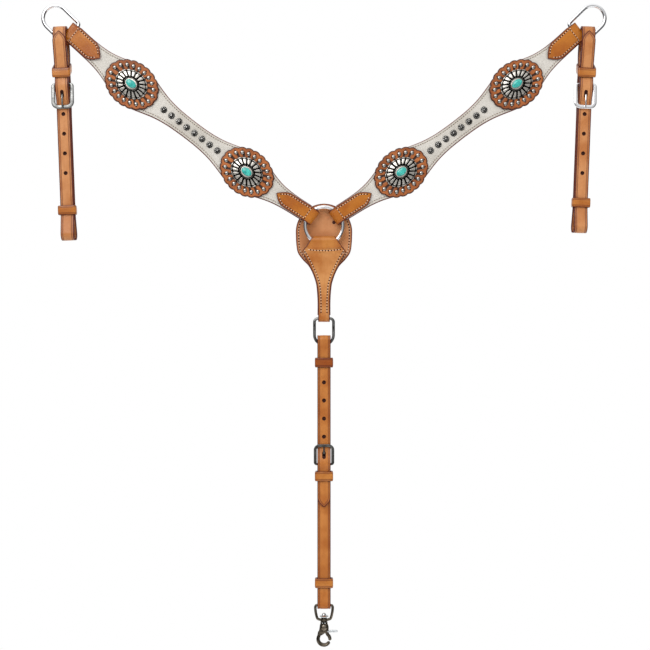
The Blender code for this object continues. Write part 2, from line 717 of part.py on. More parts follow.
def tug_path(drop, far):
    """The strap's path as (depth, distance down from the top), from its sewn tail to its tip.

    The tail folds round the heel bar, rises, goes over the dee, falls behind everything to the bottom
    loop and comes back up in front, through the buckle.
    """
    tail, start = TUG_HEEL_DEPTH + LAYER / 2, TUG_HEEL_DEPTH - LAYER / 2
    billet, back = start - LAYER, tail + LAYER
    half = TUG_KEEPER_HEIGHT / 2 + KEEPER_MARGIN
    upper, lower = TUG_KEEPER_UPPER - half, TUG_KEEPER_UPPER + half
    top = TUG_LOOP + STRAP_THICKNESS / 2
    bottom = TUG_BOTTOM_LOOP + STRAP_THICKNESS / 2
    low_centre = drop - STRAP_THICKNESS / 2 - bottom
    below_keeper = drop - TUG_KEEPER_LOWER + half
    behind_heel = TUG_HEEL_DEPTH - BILLET_AT_HEEL
    front, rear = -LAYER / 2, LAYER / 2
    shoulder = 2 * TUG_LOOP + STRAP_THICKNESS
    path = [(tail, upper - TAIL_REST), (tail, lower)]
    path += arc((TUG_HEEL_DEPTH, TUG_HEEL), HEEL_BEND, 0, 180, 9)
    path += [(start, lower), (start, upper), (-top, shoulder)]
    path += arc((0, top + STRAP_THICKNESS / 2), top, 180, 360, 15)
    path += [(top, shoulder), (back, upper), (back, lower - KEEPER_MARGIN / 2)]
    path += [(behind_heel, TUG_HEEL - HEEL_BAR / 2), (behind_heel, TUG_HEEL + HEEL_BEND)]
    path += [(rear, TUG_HEEL + far["middle"] + TUG_REAR_MERGE), (rear, below_keeper)]
    path += arc((0, low_centre), bottom, 0, 180, 13)
    path += [(front, below_keeper), (front, TUG_HEEL + far["top"])]
    path += [(TUG_HEEL_DEPTH + BILLET_AT_HEEL, TUG_HEEL + RAMP_START)]
    path += [(TUG_HEEL_DEPTH + BILLET_AT_HEEL, TUG_HEEL), (billet, lower), (billet, upper)]
    path += [(-top - LAYER, shoulder), (-top - LAYER, top + STRAP_THICKNESS / 2), (-top - LAYER, TUG_TIP)]
    return path


def uptug(side, dee):
    """One uptug on its dee ring: the strap, its buckle and its two keepers."""
    sign = 1 if side == "right" else -1
    drop = TUG_DROPS[side]
    far = far_bar(TUG_BUCKLE_WIDTH, TUG_BUCKLE_LENGTH, TUG_BUCKLE_BAND, TUG_BUCKLE_CORNER,
                  -LAYER / 2 - TUG_HEEL_DEPTH)
    pivot = joint(f"{side}_tug_joint", (sign * TUG_X, 0, TUG_PIVOT), None, (0, sign * TUG_LEAN, 0))
    hang(pivot, dee)
    top = TUG_TOP - TUG_PIVOT
    path = [(y, top - d) for y, d in rounded(tug_path(drop, far))]
    half = STRAP_WIDTH / 2
    leather = strap(f"{side}_tug_strap", path, lambda s, full: pointed(half, BILLET_POINT, full - s),
                    STRAP_THICKNESS, "tan_leather", pivot)
    heel = (0, TUG_HEEL_DEPTH, top - TUG_HEEL)
    used = TUG_FIRST_HOLE - TUG_HOLE_PITCH
    look = "antique_silver" if side == "left" else "bright_chrome"
    at = buckle(f"{side}_tug_buckle", far, heel, used - TUG_HEEL, look, pivot)
    cut(leather, slot_cutter(f"{side}_tug_slot", at))
    middle = TUG_HEEL_DEPTH + billet_depth(used - TUG_HEEL, far)
    cut(leather, drill(f"{side}_tug_used_hole", (0, top - used), SPLIT_HOLE_RADIUS, middle - HOLE_REACH,
                       middle + HOLE_REACH, pivot, SPLIT_HOLE_STRETCH))
    for i in range(TUG_HOLES):
        down = TUG_FIRST_HOLE + i * TUG_HOLE_PITCH
        cut(leather, drill(f"{side}_tug_hole_{i + 1}", (0, top - down), HOLE_RADIUS, -LAYER * 1.5, 0,
                           pivot))
    outside = TUG_HEEL_DEPTH - 1.5 * LAYER - STRAP_THICKNESS / 2
    inside = TUG_HEEL_DEPTH + 1.5 * LAYER + STRAP_THICKNESS / 2
    keeper(f"{side}_tug_upper_keeper", TUG_KEEPER_HEIGHT, outside, inside, pivot,
           top - TUG_KEEPER_UPPER)
    slide = joint(f"{side}_tug_keeper_joint", (0, 0, top - drop + TUG_KEEPER_LOWER), pivot)
    flat = LAYER / 2 + STRAP_THICKNESS / 2
    keeper(f"{side}_tug_lower_keeper", TUG_KEEPER_HEIGHT, -flat, flat, slide, 0)


def hang(empty, parent):
    """Gives an empty a parent and leaves it where it is."""
    bpy.context.view_layer.update()
    empty.parent = parent
    empty.matrix_parent_inverse = parent.matrix_world.inverted()


# Tie-down

def upper_path(far):
    """The upper strap as (depth, height): its tail, the loop on the dee, the billet and its tip."""
    reach = TIE_KEEPER_HEIGHT / 2 + KEEPER_MARGIN
    loop = TIE_LOOP + STRAP_THICKNESS / 2
    front, rear = -LAYER / 2, LAYER / 2
    above, below = TIE_KEEPER_1 + reach, TIE_KEEPER_1 - reach
    path = [(rear, below - KEEPER_MARGIN), (rear, above)]
    path += arc((0, TIE_TOP - STRAP_THICKNESS / 2 - loop), loop, 0, 180, 11)
    path += [(front, above), (front, below - TAIL_REST)]
    path += [(rear, TIE_FIRST_HOLE - TIE_HOLE_PITCH), (rear, TIE_HEEL + far["top"])]
    path += [(TIE_HEEL_DEPTH + BILLET_AT_HEEL, TIE_HEEL + RAMP_START)]
    path += [(TIE_HEEL_DEPTH + BILLET_AT_HEEL, TIE_HEEL)]
    billet = TIE_HEEL_DEPTH - 1.5 * LAYER
    return path + [(billet, TIE_KEEPER_2 + reach), (billet, TIE_TIP)]


def lower_path():
    """The lower strap as (depth, height): its tail, the heel fold, the run down, the snap's loop."""
    reach = TIE_KEEPER_HEIGHT / 2 + KEEPER_MARGIN
    tail, main = TIE_HEEL_DEPTH + LAYER / 2, TIE_HEEL_DEPTH - LAYER / 2
    front, rear = -LAYER / 2, LAYER / 2
    bend = EYE_WIRE + GAP + STRAP_THICKNESS / 2
    path = [(tail, TIE_KEEPER_2 - reach - TAIL_REST), (tail, TIE_KEEPER_2 + reach)]
    path += arc((TIE_HEEL_DEPTH, TIE_HEEL), HEEL_BEND, 0, 180, 9)
    path += [(main, TIE_KEEPER_2 + reach), (main, TIE_TIP), (front, TIE_KEEPER_3 + 3 * reach)]
    path += [(front, TIE_KEEPER_3 - reach)]
    path += arc((0, TIE_BOTTOM + STRAP_THICKNESS / 2 + bend), bend, 180, 360, 9)
    return path + [(rear, TIE_KEEPER_3 - reach), (rear, TIE_KEEPER_3 + 2 * reach)]


def tie_down(parent):
    """The tie-down: the upper strap, the buckle, the lower strap and three keepers."""
    home = back_to_origin(parent)
    far = far_bar(TIE_BUCKLE_WIDTH, TIE_BUCKLE_LENGTH, TIE_BUCKLE_BAND, TIE_BUCKLE_CORNER,
                  LAYER / 2 - TIE_HEEL_DEPTH)
    leather = strap("tie_down_upper_strap", rounded(upper_path(far)),
                    lambda s, full: pointed(STRAP_WIDTH / 2, BILLET_POINT, full - s), STRAP_THICKNESS,
                    "tan_leather", parent, home)
    used = TIE_FIRST_HOLE - TIE_HOLES * TIE_HOLE_PITCH
    middle = TIE_HEEL_DEPTH + billet_depth(used - TIE_HEEL, far)
    cut(leather, drill("tie_down_used_hole", (0, used + home[2]), SPLIT_HOLE_RADIUS, middle - HOLE_REACH,
                       middle + HOLE_REACH, parent, SPLIT_HOLE_STRETCH))
    for i in range(TIE_HOLES):
        height = TIE_FIRST_HOLE - i * TIE_HOLE_PITCH + home[2]
        cut(leather, drill(f"tie_down_hole_{i + 1}", (0, height), HOLE_RADIUS, -2 * HOLE_REACH,
                           2 * HOLE_REACH, parent))
    at = buckle("tie_down_buckle", far, (0, TIE_HEEL_DEPTH, TIE_HEEL + home[2]), used - TIE_HEEL,
                "gunmetal", parent, math.pi)
    second = strap("tie_down_lower_strap", rounded(lower_path()), lambda s, full: STRAP_WIDTH / 2,
                   STRAP_THICKNESS, "tan_leather", parent, home)
    cut(second, slot_cutter("tie_down_slot", at))
    flat = LAYER / 2 + STRAP_THICKNESS / 2
    keeper("tie_down_keeper_1", TIE_KEEPER_HEIGHT, -flat, flat, parent, TIE_KEEPER_1 + home[2])
    keeper("tie_down_keeper_2", TIE_KEEPER_HEIGHT, TIE_HEEL_DEPTH - 1.5 * LAYER - STRAP_THICKNESS / 2,
           TIE_HEEL_DEPTH + flat, parent, TIE_KEEPER_2 + home[2])
    slide = joint("tie_down_keeper_joint", (0, 0, TIE_KEEPER_3 + home[2]), parent)
    keeper("tie_down_keeper_3", TIE_KEEPER_HEIGHT, -flat, flat, slide, 0)


def back_to_origin(empty):
    """The location, under an unturned joint, of a piece that is drawn in world coordinates."""
    total = Vector((0, 0, 0))
    while empty is not None:
        total -= empty.location
        empty = empty.parent
    return total


# Trigger snap

def snap_eye(parent):
    """The swivel eye: a wire loop with a bored boss at its bottom."""
    home = back_to_origin(parent)
    low = EYE_BAR - EYE_DROP
    half = [(EYE_HALF - 0.0020, EYE_BAR), (EYE_HALF - 0.0005, EYE_BAR - 0.0006),
            (EYE_HALF, EYE_BAR - 0.0022), (EYE_HALF, EYE_BAR - 0.0070),
            (EYE_HALF - 0.0014, low + 0.0030), (EYE_HALF - 0.0026, low + 0.0009),
            (BOSS_RADIUS - 0.0006, low)]
    points = half + [(-x, z) for x, z in reversed(half)]
    loop = to_mesh(wire("swivel_eye", [(x, 0, z) for x, z in points], EYE_WIRE, "gunmetal", parent, home))
    centre = home + Vector((0, 0, low))
    solid = turned("swivel_eye_boss", [(0, BOSS_HEIGHT / 2), (BOSS_RADIUS, BOSS_HEIGHT / 2),
                                       (BOSS_RADIUS, -BOSS_HEIGHT / 2), (0, -BOSS_HEIGHT / 2)],
                   "gunmetal", parent, centre, steps=20)
    bore = turned("swivel_eye_bore", [(0, BOSS_HEIGHT), (POST_RADIUS + GAP, BOSS_HEIGHT),
                                      (POST_RADIUS + GAP, -BOSS_HEIGHT), (0, -BOSS_HEIGHT)],
                  "gunmetal", parent, centre, steps=20)
    cut(loop, cutter(solid), "UNION")
    cut(loop, cutter(bore))


def gate_cut(radius, reach):
    """The angle, on a circle round the hook's centre, that is a given reach from the trigger's rivet."""
    drop = SNAP_PIVOT - HOOK_CENTRE
    return -math.degrees(math.asin((reach**2 - radius**2 - drop**2) / (2 * drop * radius)))


def snap(parent):
    """The body of the snap with its swivel post, the rivet, the trigger's spring and the trigger."""
    home = back_to_origin(parent)
    low = EYE_BAR - EYE_DROP
    neck = low - BOSS_HEIGHT / 2 - GAP
    outline = [(-0.0040, neck), (-0.0040, neck - 0.0030), (-0.0050, SNAP_PIVOT + 0.0020),
               (-0.0054, SNAP_PIVOT - 0.0030)]
    outside, inside = gate_cut(HOOK_OUTER, HOOK_TIP), gate_cut(HOOK_INNER, HOOK_TIP)
    outline += arc((0, HOOK_CENTRE), HOOK_OUTER, 155, 360 + outside, 20)
    outline += arc((0, HOOK_CENTRE), HOOK_INNER, 360 + inside, 118, 20)
    outline += [(-0.0004, HOOK_CENTRE + 0.0066), (0.0020, SNAP_PIVOT - 0.0056),
                (0.0054, SNAP_PIVOT - 0.0040), (0.0056, SNAP_PIVOT + 0.0010),
                (0.0040, neck - 0.0030), (0.0040, neck)]
    body = to_mesh(plate("snap_body", [outline], 2 * SNAP_HALF_DEPTH, "gunmetal", parent, home, UPRIGHT))
    head = low + BOSS_HEIGHT / 2 + GAP
    post = [(0, head + POST_HEAD_HEIGHT), (POST_HEAD_RADIUS * 0.7, head + POST_HEAD_HEIGHT * 0.8),
            (POST_HEAD_RADIUS, head + POST_HEAD_HEIGHT * 0.3), (POST_HEAD_RADIUS, head),
            (POST_RADIUS, head), (POST_RADIUS, neck - 0.0020), (0, neck - 0.0020)]
    cut(body, cutter(turned("snap_post", post, "gunmetal", parent, home, steps=20)), "UNION")
    slot = block("snap_slot", (-0.0036, -SNAP_SLOT, SNAP_PIVOT - 0.0088),
                 (0.0100, SNAP_SLOT, SNAP_PIVOT + 0.0042), parent)
    slot.location = home
    cut(body, slot)
    rivet_hole = drill("rivet_hole", (0, SNAP_PIVOT + home[2]), RIVET_RADIUS + GAP, -0.006, 0.006, parent)
    cut(body, rivet_hole)
    edge = SNAP_HALF_DEPTH + GAP
    rivet = [(0, edge + RIVET_HEAD_HEIGHT), (RIVET_HEAD_RADIUS * 0.8, edge + RIVET_HEAD_HEIGHT),
             (RIVET_HEAD_RADIUS, edge + RIVET_HEAD_HEIGHT * 0.4), (RIVET_HEAD_RADIUS, edge),
             (RIVET_RADIUS, edge)]
    rivet += [(r, -z) for r, z in reversed(rivet)]
    turned("snap_rivet", rivet, "gunmetal", parent, home + Vector((0, 0, SNAP_PIVOT)), UPRIGHT, steps=20)
    pivot = joint("trigger_joint", Vector((0, 0, SNAP_PIVOT)) + home, parent)
    trigger(pivot, rivet_hole)
    spring_depth = (TRIGGER_BACK + SNAP_SLOT) / 2
    coil = [(x, spring_depth, z) for x, z in arc((0, 0), SPRING_RADIUS, 60, 330, 16)]
    ends = [(0.0034, spring_depth, 0.0034)] + coil + [(0.0042, spring_depth, -0.0024)]
    wire("trigger_spring", ends, SPRING_WIRE, "gunmetal", parent,
         home + Vector((0, 0, SNAP_PIVOT)), cyclic=False)


def trigger(pivot, rivet_hole):
    """The trigger: a disc on the rivet, the gate that closes the hook and the thumb lever."""
    away = HOOK_CENTRE - SNAP_PIVOT
    thickness = TRIGGER_BACK - TRIGGER_FRONT
    depth = (TRIGGER_FRONT + TRIGGER_BACK) / 2
    reach = HOOK_TIP - GAP
    outside, inside = gate_cut(HOOK_OUTER, reach), gate_cut(HOOK_INNER, reach)
    gate = arc((0, away), HOOK_OUTER, outside, 56, 11)
    gate += [(0.0040, -0.0015), (0.0, 0.0034), (-0.0032, 0.0), (-0.0005, -0.0042),
             (0.0022, away + 0.0062)]
    gate += arc((0, away), HOOK_INNER, 48, inside, 11)
    arm = to_mesh(plate("trigger", [gate], thickness, "gunmetal", pivot, (0, depth, 0), UPRIGHT))
    lever = block("trigger_lever", (0.0024, depth - thickness / 2 + 0.0002, -0.0061),
                  (LEVER_REACH, depth + thickness / 2 - 0.0002, -0.0061 + LEVER_HEIGHT), pivot)
    cut(arm, lever, "UNION")
    cut(arm, rivet_hole)


def build():
    """The whole collar."""
    clear_scene()
    for side in ("left", "right"):
        uptug(side, dee_ring(side, wing(side)))
    ring_joint = joint("centre_ring_joint", (0, 0, 0))
    centre_ring(ring_joint)
    shield_joint = joint("shield_joint", (0, 0, SHIELD_PIVOT), ring_joint)
    shield(shield_joint)
    dee_joint = joint("lower_dee_joint", (0, 0, LOWER_DEE_BAR - SHIELD_PIVOT), shield_joint)
    lower_dee(dee_joint)
    tie_joint = joint("tie_down_joint", (0, 0, TIE_PIVOT - LOWER_DEE_BAR), dee_joint)
    tie_down(tie_joint)
    eye_joint = joint("swivel_eye_joint", (0, 0, EYE_BAR - TIE_PIVOT), tie_joint)
    snap_eye(eye_joint)
    swivel_joint = joint("swivel_joint", (0, 0, -EYE_DROP), eye_joint)
    snap(swivel_joint)


build()
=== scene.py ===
"""The finished look of a western breast collar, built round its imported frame.

Metres, +Z up, the front faces -Y, and the origin is the centre of the centre ring. Leather is a strip
carried along a path: its cross-section, with rounded edges and creases, follows the path.
"""
import math

import bmesh
import bpy
import numpy as np
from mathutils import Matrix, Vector


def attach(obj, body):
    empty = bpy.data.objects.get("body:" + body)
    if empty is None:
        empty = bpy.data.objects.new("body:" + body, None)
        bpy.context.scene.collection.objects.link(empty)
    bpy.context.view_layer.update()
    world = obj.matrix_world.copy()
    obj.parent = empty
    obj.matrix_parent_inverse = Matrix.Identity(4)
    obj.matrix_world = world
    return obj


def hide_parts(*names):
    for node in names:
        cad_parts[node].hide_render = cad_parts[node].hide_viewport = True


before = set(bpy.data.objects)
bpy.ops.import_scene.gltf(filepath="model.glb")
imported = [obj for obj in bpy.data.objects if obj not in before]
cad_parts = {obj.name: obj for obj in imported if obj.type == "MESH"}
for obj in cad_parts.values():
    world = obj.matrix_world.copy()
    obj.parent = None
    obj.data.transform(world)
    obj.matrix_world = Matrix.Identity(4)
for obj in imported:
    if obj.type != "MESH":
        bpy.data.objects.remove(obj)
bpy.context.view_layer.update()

X, Y, Z = np.eye(3)
SIDES = {"left": -1, "right": 1}

# Fits and straps
GAP = 0.0003
KEEPER_SIDE_GAP = 0.0007
STRAP_HALF = 0.0159 / 2
STRAP_THICKNESS = 0.0024
LAYER = STRAP_THICKNESS + GAP
TWO_LAYERS = 0.5 * LAYER + STRAP_THICKNESS / 2      # half the depth of a stack of straps
FOUR_LAYERS = 1.5 * LAYER + STRAP_THICKNESS / 2
KEEPER_THICKNESS = 0.0022
KEEPER_MARGIN = 0.0010
TAIL_REST = 0.0025
BILLET_POINT = 0.0115
HOLE_RADIUS = 0.0021
SPLIT_HOLE_RADIUS = 0.0018
SPLIT_HOLE_STRETCH = 2.3
HOLE_REACH = 0.0035          # of a punch, in front of the leather's middle
STRAP_CREASE = 0.0027        # from a strap's edge to its creased line
KEEPER_CREASE = 0.0022

# Wings
WING_SLOPE = math.radians(37.3)
WING_START = 0.0265
WING_END = 0.3768
WING_MIDDLE = 0.1988
WING_BOW = 0.0059
WING_HALF_INNER = 0.0109
WING_HALF_OUTER = 0.0122
WING_BULGE = 0.0137
BULGE_REACH_END = 0.0232
BULGE_REACH_MIDDLE = 0.0272
LAYER_THICKNESS = 0.0022
HIDE_INSET = 0.0009          # how far the cowhide stays inside the lining
WING_STITCH = 0.0033         # from the edge to the stitching
WING_PITCH = 0.0031          # from stitch to stitch
WING_SEAM_END = 0.012        # where the stitching stops short of a wing's ends

# Tabs
TAB_THICKNESS = 0.0020
TAB_FOLD = 0.00265
TAB_POINT = 0.016
TAB_STITCH = 0.0027
INNER_TAB = {"face": 0.0137, "outward": -1, "length": 0.055, "half": 0.0097}
OUTER_TAB = {"face": 0.3875, "outward": 1, "length": 0.053, "half": 0.0116}

# Rosettes, conchos, stones and spots
ROSETTE_SPACING = 0.1734
ROSETTE_LONG = 0.0343
ROSETTE_SHORT = 0.0268
ROSETTE_THICKNESS = 0.0020
SCALLOPS = 20
SCALLOP_DEPTH = 0.0009
BALL_LONG = 0.0287           # the ring of ball spots, along the wing
BALL_SHORT = 0.0203
BALL_RADIUS = 0.0026
DOT_OUT = 0.0031             # from a ball spot's middle out to the dark dot of painted shade beside it
CONCHO_LONG = 0.0211
CONCHO_SHORT = 0.0166
CONCHO_HEIGHT = 0.0046
PETALS = 18
STONE_LONG = 0.0067
STONE_SHORT = 0.0043
STONE_HEIGHT = 0.0028
FLOWER_START = 0.1562
FLOWER_PITCH = 0.0115
FLOWERS = 8
FLOWER_RADIUS = 0.0040
FLOWER_HEIGHT = 0.0019

# Rings
RING_WIRE = 0.0023
RING_RADIUS = 0.0224
DEE_WIRE = 0.00225
DEE_HALF = 0.0150
DEE_LENGTH = 0.0262
DEE_CORNER = 0.0040
DEE_TILT = math.radians(7.0)
DEE_BAR = 0.3812
LOWER_DEE_WIRE = 0.0017
LOWER_DEE_HALF = 0.0114
LOWER_DEE_BAR = -0.1113
LOWER_DEE_STRAIGHT = 0.0198
LOWER_DEE_CORNER = 0.0040

# Shield
PLATE_THICKNESS = 0.0026
PLATE_BACK = 0.0072
PLATE_TOP_RADIUS = 0.0340
PLATE_TOP_CENTRE = -0.0068
NECK_HALF = 0.0078
NECK_BOTTOM = -0.1070
OVERLAY_THICKNESS = 0.0020
OVERLAY_INSET = 0.0008
OVERLAY_TOP = -0.0257
OVERLAY_CORNER = 0.0223      # half-width at the top
OVERLAY_DIP = 0.0019
OVERLAY_BACK_TOP = -0.0850
LOOP_FOLD = 0.0036
LOOP_TOP = -0.0124
LOOP_BOTTOM = -0.0380
LOOP_HALF_TOP = 0.0122
LOOP_WAIST = -0.0165
LOOP_HALF_WAIST = 0.0160
LOOP_HALF_OVERLAY = 0.0221
LOOP_HALF_BOTTOM = 0.0185
SHIELD_STITCH = 0.0034
STITCH_PITCH = 0.0034        # from stitch to stitch, on the tabs and the shield
AWL_HOLE = (0.0120, 0.0046)  # the awl hole in the plate, a disc of painted shade, across and up

# Tie-down
TIE_TOP = -0.1313
TIE_LOOP = 0.0032
TIE_KEEPER_1 = -0.1640
TIE_FIRST_HOLE = -0.1879
TIE_HOLE_PITCH = 0.0217
TIE_HOLES = 4
TIE_HEEL = -0.2862
TIE_HEEL_DEPTH = 0.0005
TIE_KEEPER_2 = -0.3000
TIE_TIP = -0.3371
TIE_KEEPER_3 = -0.4282
TIE_BOTTOM = -0.4595
TIE_KEEPER_HEIGHT = 0.0116
TIE_BUCKLE = (0.0246, 0.0255, 0.0036, 0.0070)     # width, length, band and far corners
EYE_WIRE = 0.0016

# Snap
EYE_HALF = 0.0104
EYE_BAR = -0.4552
EYE_DROP = 0.0168
BOSS_RADIUS = 0.0034
BOSS_HEIGHT = 0.0042
POST_RADIUS = 0.0016
SNAP_HALF_DEPTH = 0.0036
SNAP_SLOT = 0.0024           # half-width of the trigger's slot
SNAP_PIVOT = -0.4816
HOOK_CENTRE = -0.4958
HOOK_OUTER = 0.0091
HOOK_INNER = 0.0050
HOOK_MIDDLE = (HOOK_OUTER + HOOK_INNER) / 2
HOOK_THICK = (HOOK_OUTER - HOOK_INNER) / 2          # radius of its bar
HOOK_TIP = 0.0182            # from the rivet to the hook's end, which the gate meets
RIVET_HEAD_RADIUS = 0.0036
RIVET_HEAD_HEIGHT = 0.0014
CHEEK_EDGE = 0.0005          # radius of the cheeks' rounded edges
TRIGGER_DISC = 0.0034
TRIGGER_FRONT = -0.0020
TRIGGER_BACK = 0.0008
LEVER_REACH = 0.0163
LEVER_HEIGHT = 0.0030
SPRING_WIRE = 0.00035
SPRING_RADIUS = 0.0028

# Uptugs, measured down from the top of the fold
TUG_X = 0.3160
TUG_TOP = 0.2392
TUG_LEAN = math.radians(2.2)
TUG_DROPS = {"left": 0.2570, "right": 0.2480}
TUG_PIVOT = 0.2317
TUG_LOOP = 0.0080
TUG_BOTTOM_LOOP = 0.0058
TUG_TIP = 0.0076
TUG_KEEPER_UPPER = 0.0564
TUG_KEEPER_HEIGHT = 0.0112
TUG_KEEPER_LOWER = 0.0363
TUG_HEEL = 0.0691
TUG_HEEL_DEPTH = -0.00135
TUG_BUCKLE = (0.0271, 0.0317, 0.0048, 0.0084)
TUG_SKEW = 0.0014            # how far the layer behind shows beside the front
KEEPER_TILT = 0.55           # rise of the upper keeper towards its back, for each metre of depth
TUG_REAR_MERGE = 0.0100
TUG_FIRST_HOLE = 0.1055
TUG_HOLE_PITCH = 0.0236
TUG_HOLES = 4

# Buckles
FRAME_THICKNESS = 0.0022
HEEL_BAR = 0.0022
BEND_ROOM = 0.0020
TONGUE_WIRE = 0.0011
TONGUE_EYE = 0.0031
HEEL_BEND = math.hypot(HEEL_BAR, FRAME_THICKNESS) / 2 + GAP + STRAP_THICKNESS / 2
BILLET_AT_HEEL = -(HEEL_BEND + STRAP_THICKNESS + GAP)
RAMP_START = HEEL_BEND + STRAP_THICKNESS / 2 + GAP

# Studio
VIEW_CENTRE = np.array([0.0012, 0, -0.1190])
VIEW_SPAN = 0.780
VIEW_DISTANCE = 1.60
FLOOR_RADIUS = 1.6
FLOOR_HEIGHT = -0.95
# Ramps of (share of the way from one side to the other, grey); the ends come first.
MIRROR_FRONT = ((0.0, 0.50), (1.0, 0.55), (0.08, 0.40), (0.26, 0.05), (0.62, 0.04), (0.9, 0.35))
MIRROR_ABOVE = ((0.0, 0.0), (1.0, 0.8), (0.56, 0.0), (0.74, 0.42))
SOFT_LIGHT = ((0.0, 0.42), (1.0, 0.75))
LIGHTS = (("key_light", (-1.0, -1.7, 1.4), 1.8, 36),        # place, size and power
          ("fill_light", (1.5, -1.6, 0.3), 1.8, 15),
          ("back_light", (0.3, 1.9, 1.0), 1.6, 30))


# Meshes

class Piece:
    """A mesh gathered from grids of points, with two UV maps that the finishes read.

    "lay" is (across, along) in metres; "rim" is (distance from the edge in metres, relief from 0 to 1).
    """

    def __init__(self, name):
        self.name = name
        self.points, self.faces, self.looks = [], [], []
        self.charts = {"lay": [], "rim": []}
        self.total = 0

    def grid(self, points, closed=(False, True), look=0, lay=None, rim=None, caps=False):
        """Quads between the neighbours in a (rows, columns) grid, closed on itself or capped."""
        rows, columns = points.shape[:2]
        a, b = np.meshgrid(np.arange(rows - (not closed[0])), np.arange(columns - (not closed[1])),
                           indexing="ij")
        i = np.stack([a, a + 1, a + 1, a], -1).reshape(-1, 4) % rows
        j = np.stack([b, b, b + 1, b + 1], -1).reshape(-1, 4) % columns
        faces = (i * columns + j).tolist()
        if caps:
            faces += [list(range(columns))[::-1], list(range((rows - 1) * columns, rows * columns))]
        self.add(points.reshape(-1, 3), faces, look, lay, rim)

    def add(self, points, faces, look, lay=None, rim=None):
        """Points and faces, with a chart value for each point."""
        order = np.concatenate([np.array(face) for face in faces])
        for name, chart in (("lay", lay), ("rim", rim)):
            values = np.zeros((len(points), 2)) if chart is None else np.reshape(chart, (-1, 2))
            self.charts[name].append(values[order])
        self.points.append(points)
        self.faces += [[self.total + k for k in face] for face in faces]
        self.looks += [look] * len(faces)
        self.total += len(points)

    def stamp(self, shape, centres, right, up, out, look=0, rim=None):
        """One small closed grid repeated at many centres, each turned to its own three directions."""
        basis = np.stack([right, up, out], 1)
        spots = centres[:, None] + np.einsum("kc,ncd->nkd", shape.reshape(-1, 3), basis)
        rows, columns = shape.shape[:2]
        a, b = np.meshgrid(np.arange(rows - 1), np.arange(columns), indexing="ij")
        i = np.stack([a, a + 1, a + 1, a], -1).reshape(-1, 4)
        j = np.stack([b, b, b + 1, b + 1], -1).reshape(-1, 4) % columns
        quads = i * columns + j
        offsets = np.arange(len(centres))[:, None, None] * rows * columns
        values = None if rim is None else np.tile(np.reshape(rim, (-1, 2)), (len(centres), 1))
        self.add(spots.reshape(-1, 3), (quads + offsets).reshape(-1, 4).tolist(), look, rim=values)

    def mesh(self, finishes):
        """The object, its doubles merged and its normals outwards."""
        data = bpy.data.meshes.new(self.name)
        data.from_pydata(np.concatenate(self.points).tolist(), [], self.faces)
        for name, values in self.charts.items():
            layer = data.uv_layers.new(name=name)
            layer.data.foreach_set("uv", np.concatenate(values).astype(np.float32).ravel())
        data.polygons.foreach_set("material_index", self.looks)
        build = bmesh.new()
        build.from_mesh(data)
        bmesh.ops.remove_doubles(build, verts=build.verts, dist=2e-7)
        bmesh.ops.dissolve_degenerate(build, edges=build.edges, dist=2e-7)
        bmesh.ops.recalc_face_normals(build, faces=build.faces)
        build.to_mesh(data)
        build.free()
        item = bpy.data.objects.new(self.name, data)
        bpy.context.scene.collection.objects.link(item)
        for finish in finishes:
            data.materials.append(finish)
        return item

    def done(self, body, slot, finishes, *nodes, holes=()):
        """The finished piece on its body, standing for its CAD nodes, with holes punched in it."""
        item = self.mesh(finishes)
        if holes:
            punch(item, holes, finishes)
        item.data.polygons.foreach_set("use_smooth", [True] * len(item.data.polygons))
        item.data.set_sharp_from_angle(angle=math.radians(42))
        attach(item, body)
        if nodes:
            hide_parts(*nodes)
        return item


def punch(item, holes, finishes):
    """Cuts the holes with one Boolean and keeps the result as the item's own mesh."""
    tool = Piece(item.name + "_punch")
    # The cutter's faces take the last finish, the painted hole shade, and the cut keeps it on the holes'
    # walls and floors.
    for points in holes:
        tool.grid(points, look=len(finishes) - 1, caps=True)
    tool = tool.mesh(finishes)
    step = item.modifiers.new("punch", "BOOLEAN")
    step.operation = "DIFFERENCE"
    step.solver = "EXACT"
    step.object = tool
    bpy.context.view_layer.update()
    evaluated = item.evaluated_get(bpy.context.evaluated_depsgraph_get())
    cut = bpy.data.meshes.new_from_object(evaluated)
    item.modifiers.clear()
    item.data = cut
    bpy.data.objects.remove(tool, do_unlink=True)


def put(axes, across, deep, up):
    """Points from coordinates along the axes (origin, across, depth, up) of a frame."""
    across, deep, up = np.broadcast_arrays(across, deep, up)
    return axes[0] + across[..., None] * axes[1] + deep[..., None] * axes[2] + up[..., None] * axes[3]


def unit(vectors):
    """The vectors scaled to length one."""
    return vectors / np.linalg.norm(vectors, axis=-1, keepdims=True)


def step(values, low, high):
    """A smooth rise from 0 at low to 1 at high."""
    share = np.clip((values - low) / (high - low), 0, 1)
    return share * share * (3 - 2 * share)


def arc(centre, radius, start, end, count):
    """Points on an arc, from one angle to another in degrees."""
    angles = np.radians(np.linspace(start, end, count))
    return [(centre[0] + radius * math.cos(a), centre[1] + radius * math.sin(a)) for a in angles]


def smooth(points, per_span=12):
    """A Catmull-Rom curve through 2D points."""
    p = np.array([points[0], *points, points[-1]], dtype=float)
    t = np.linspace(0, 1, per_span, endpoint=False)[:, None]
    spans = [0.5 * (2 * b + (c - a) * t + (2 * a - 5 * b + 4 * c - d) * t**2
                    + (3 * b - a - 3 * c + d) * t**3)
             for a, b, c, d in zip(p[:-3], p[1:-2], p[2:-1], p[3:])]
    return np.vstack([*spans, p[-1:]])


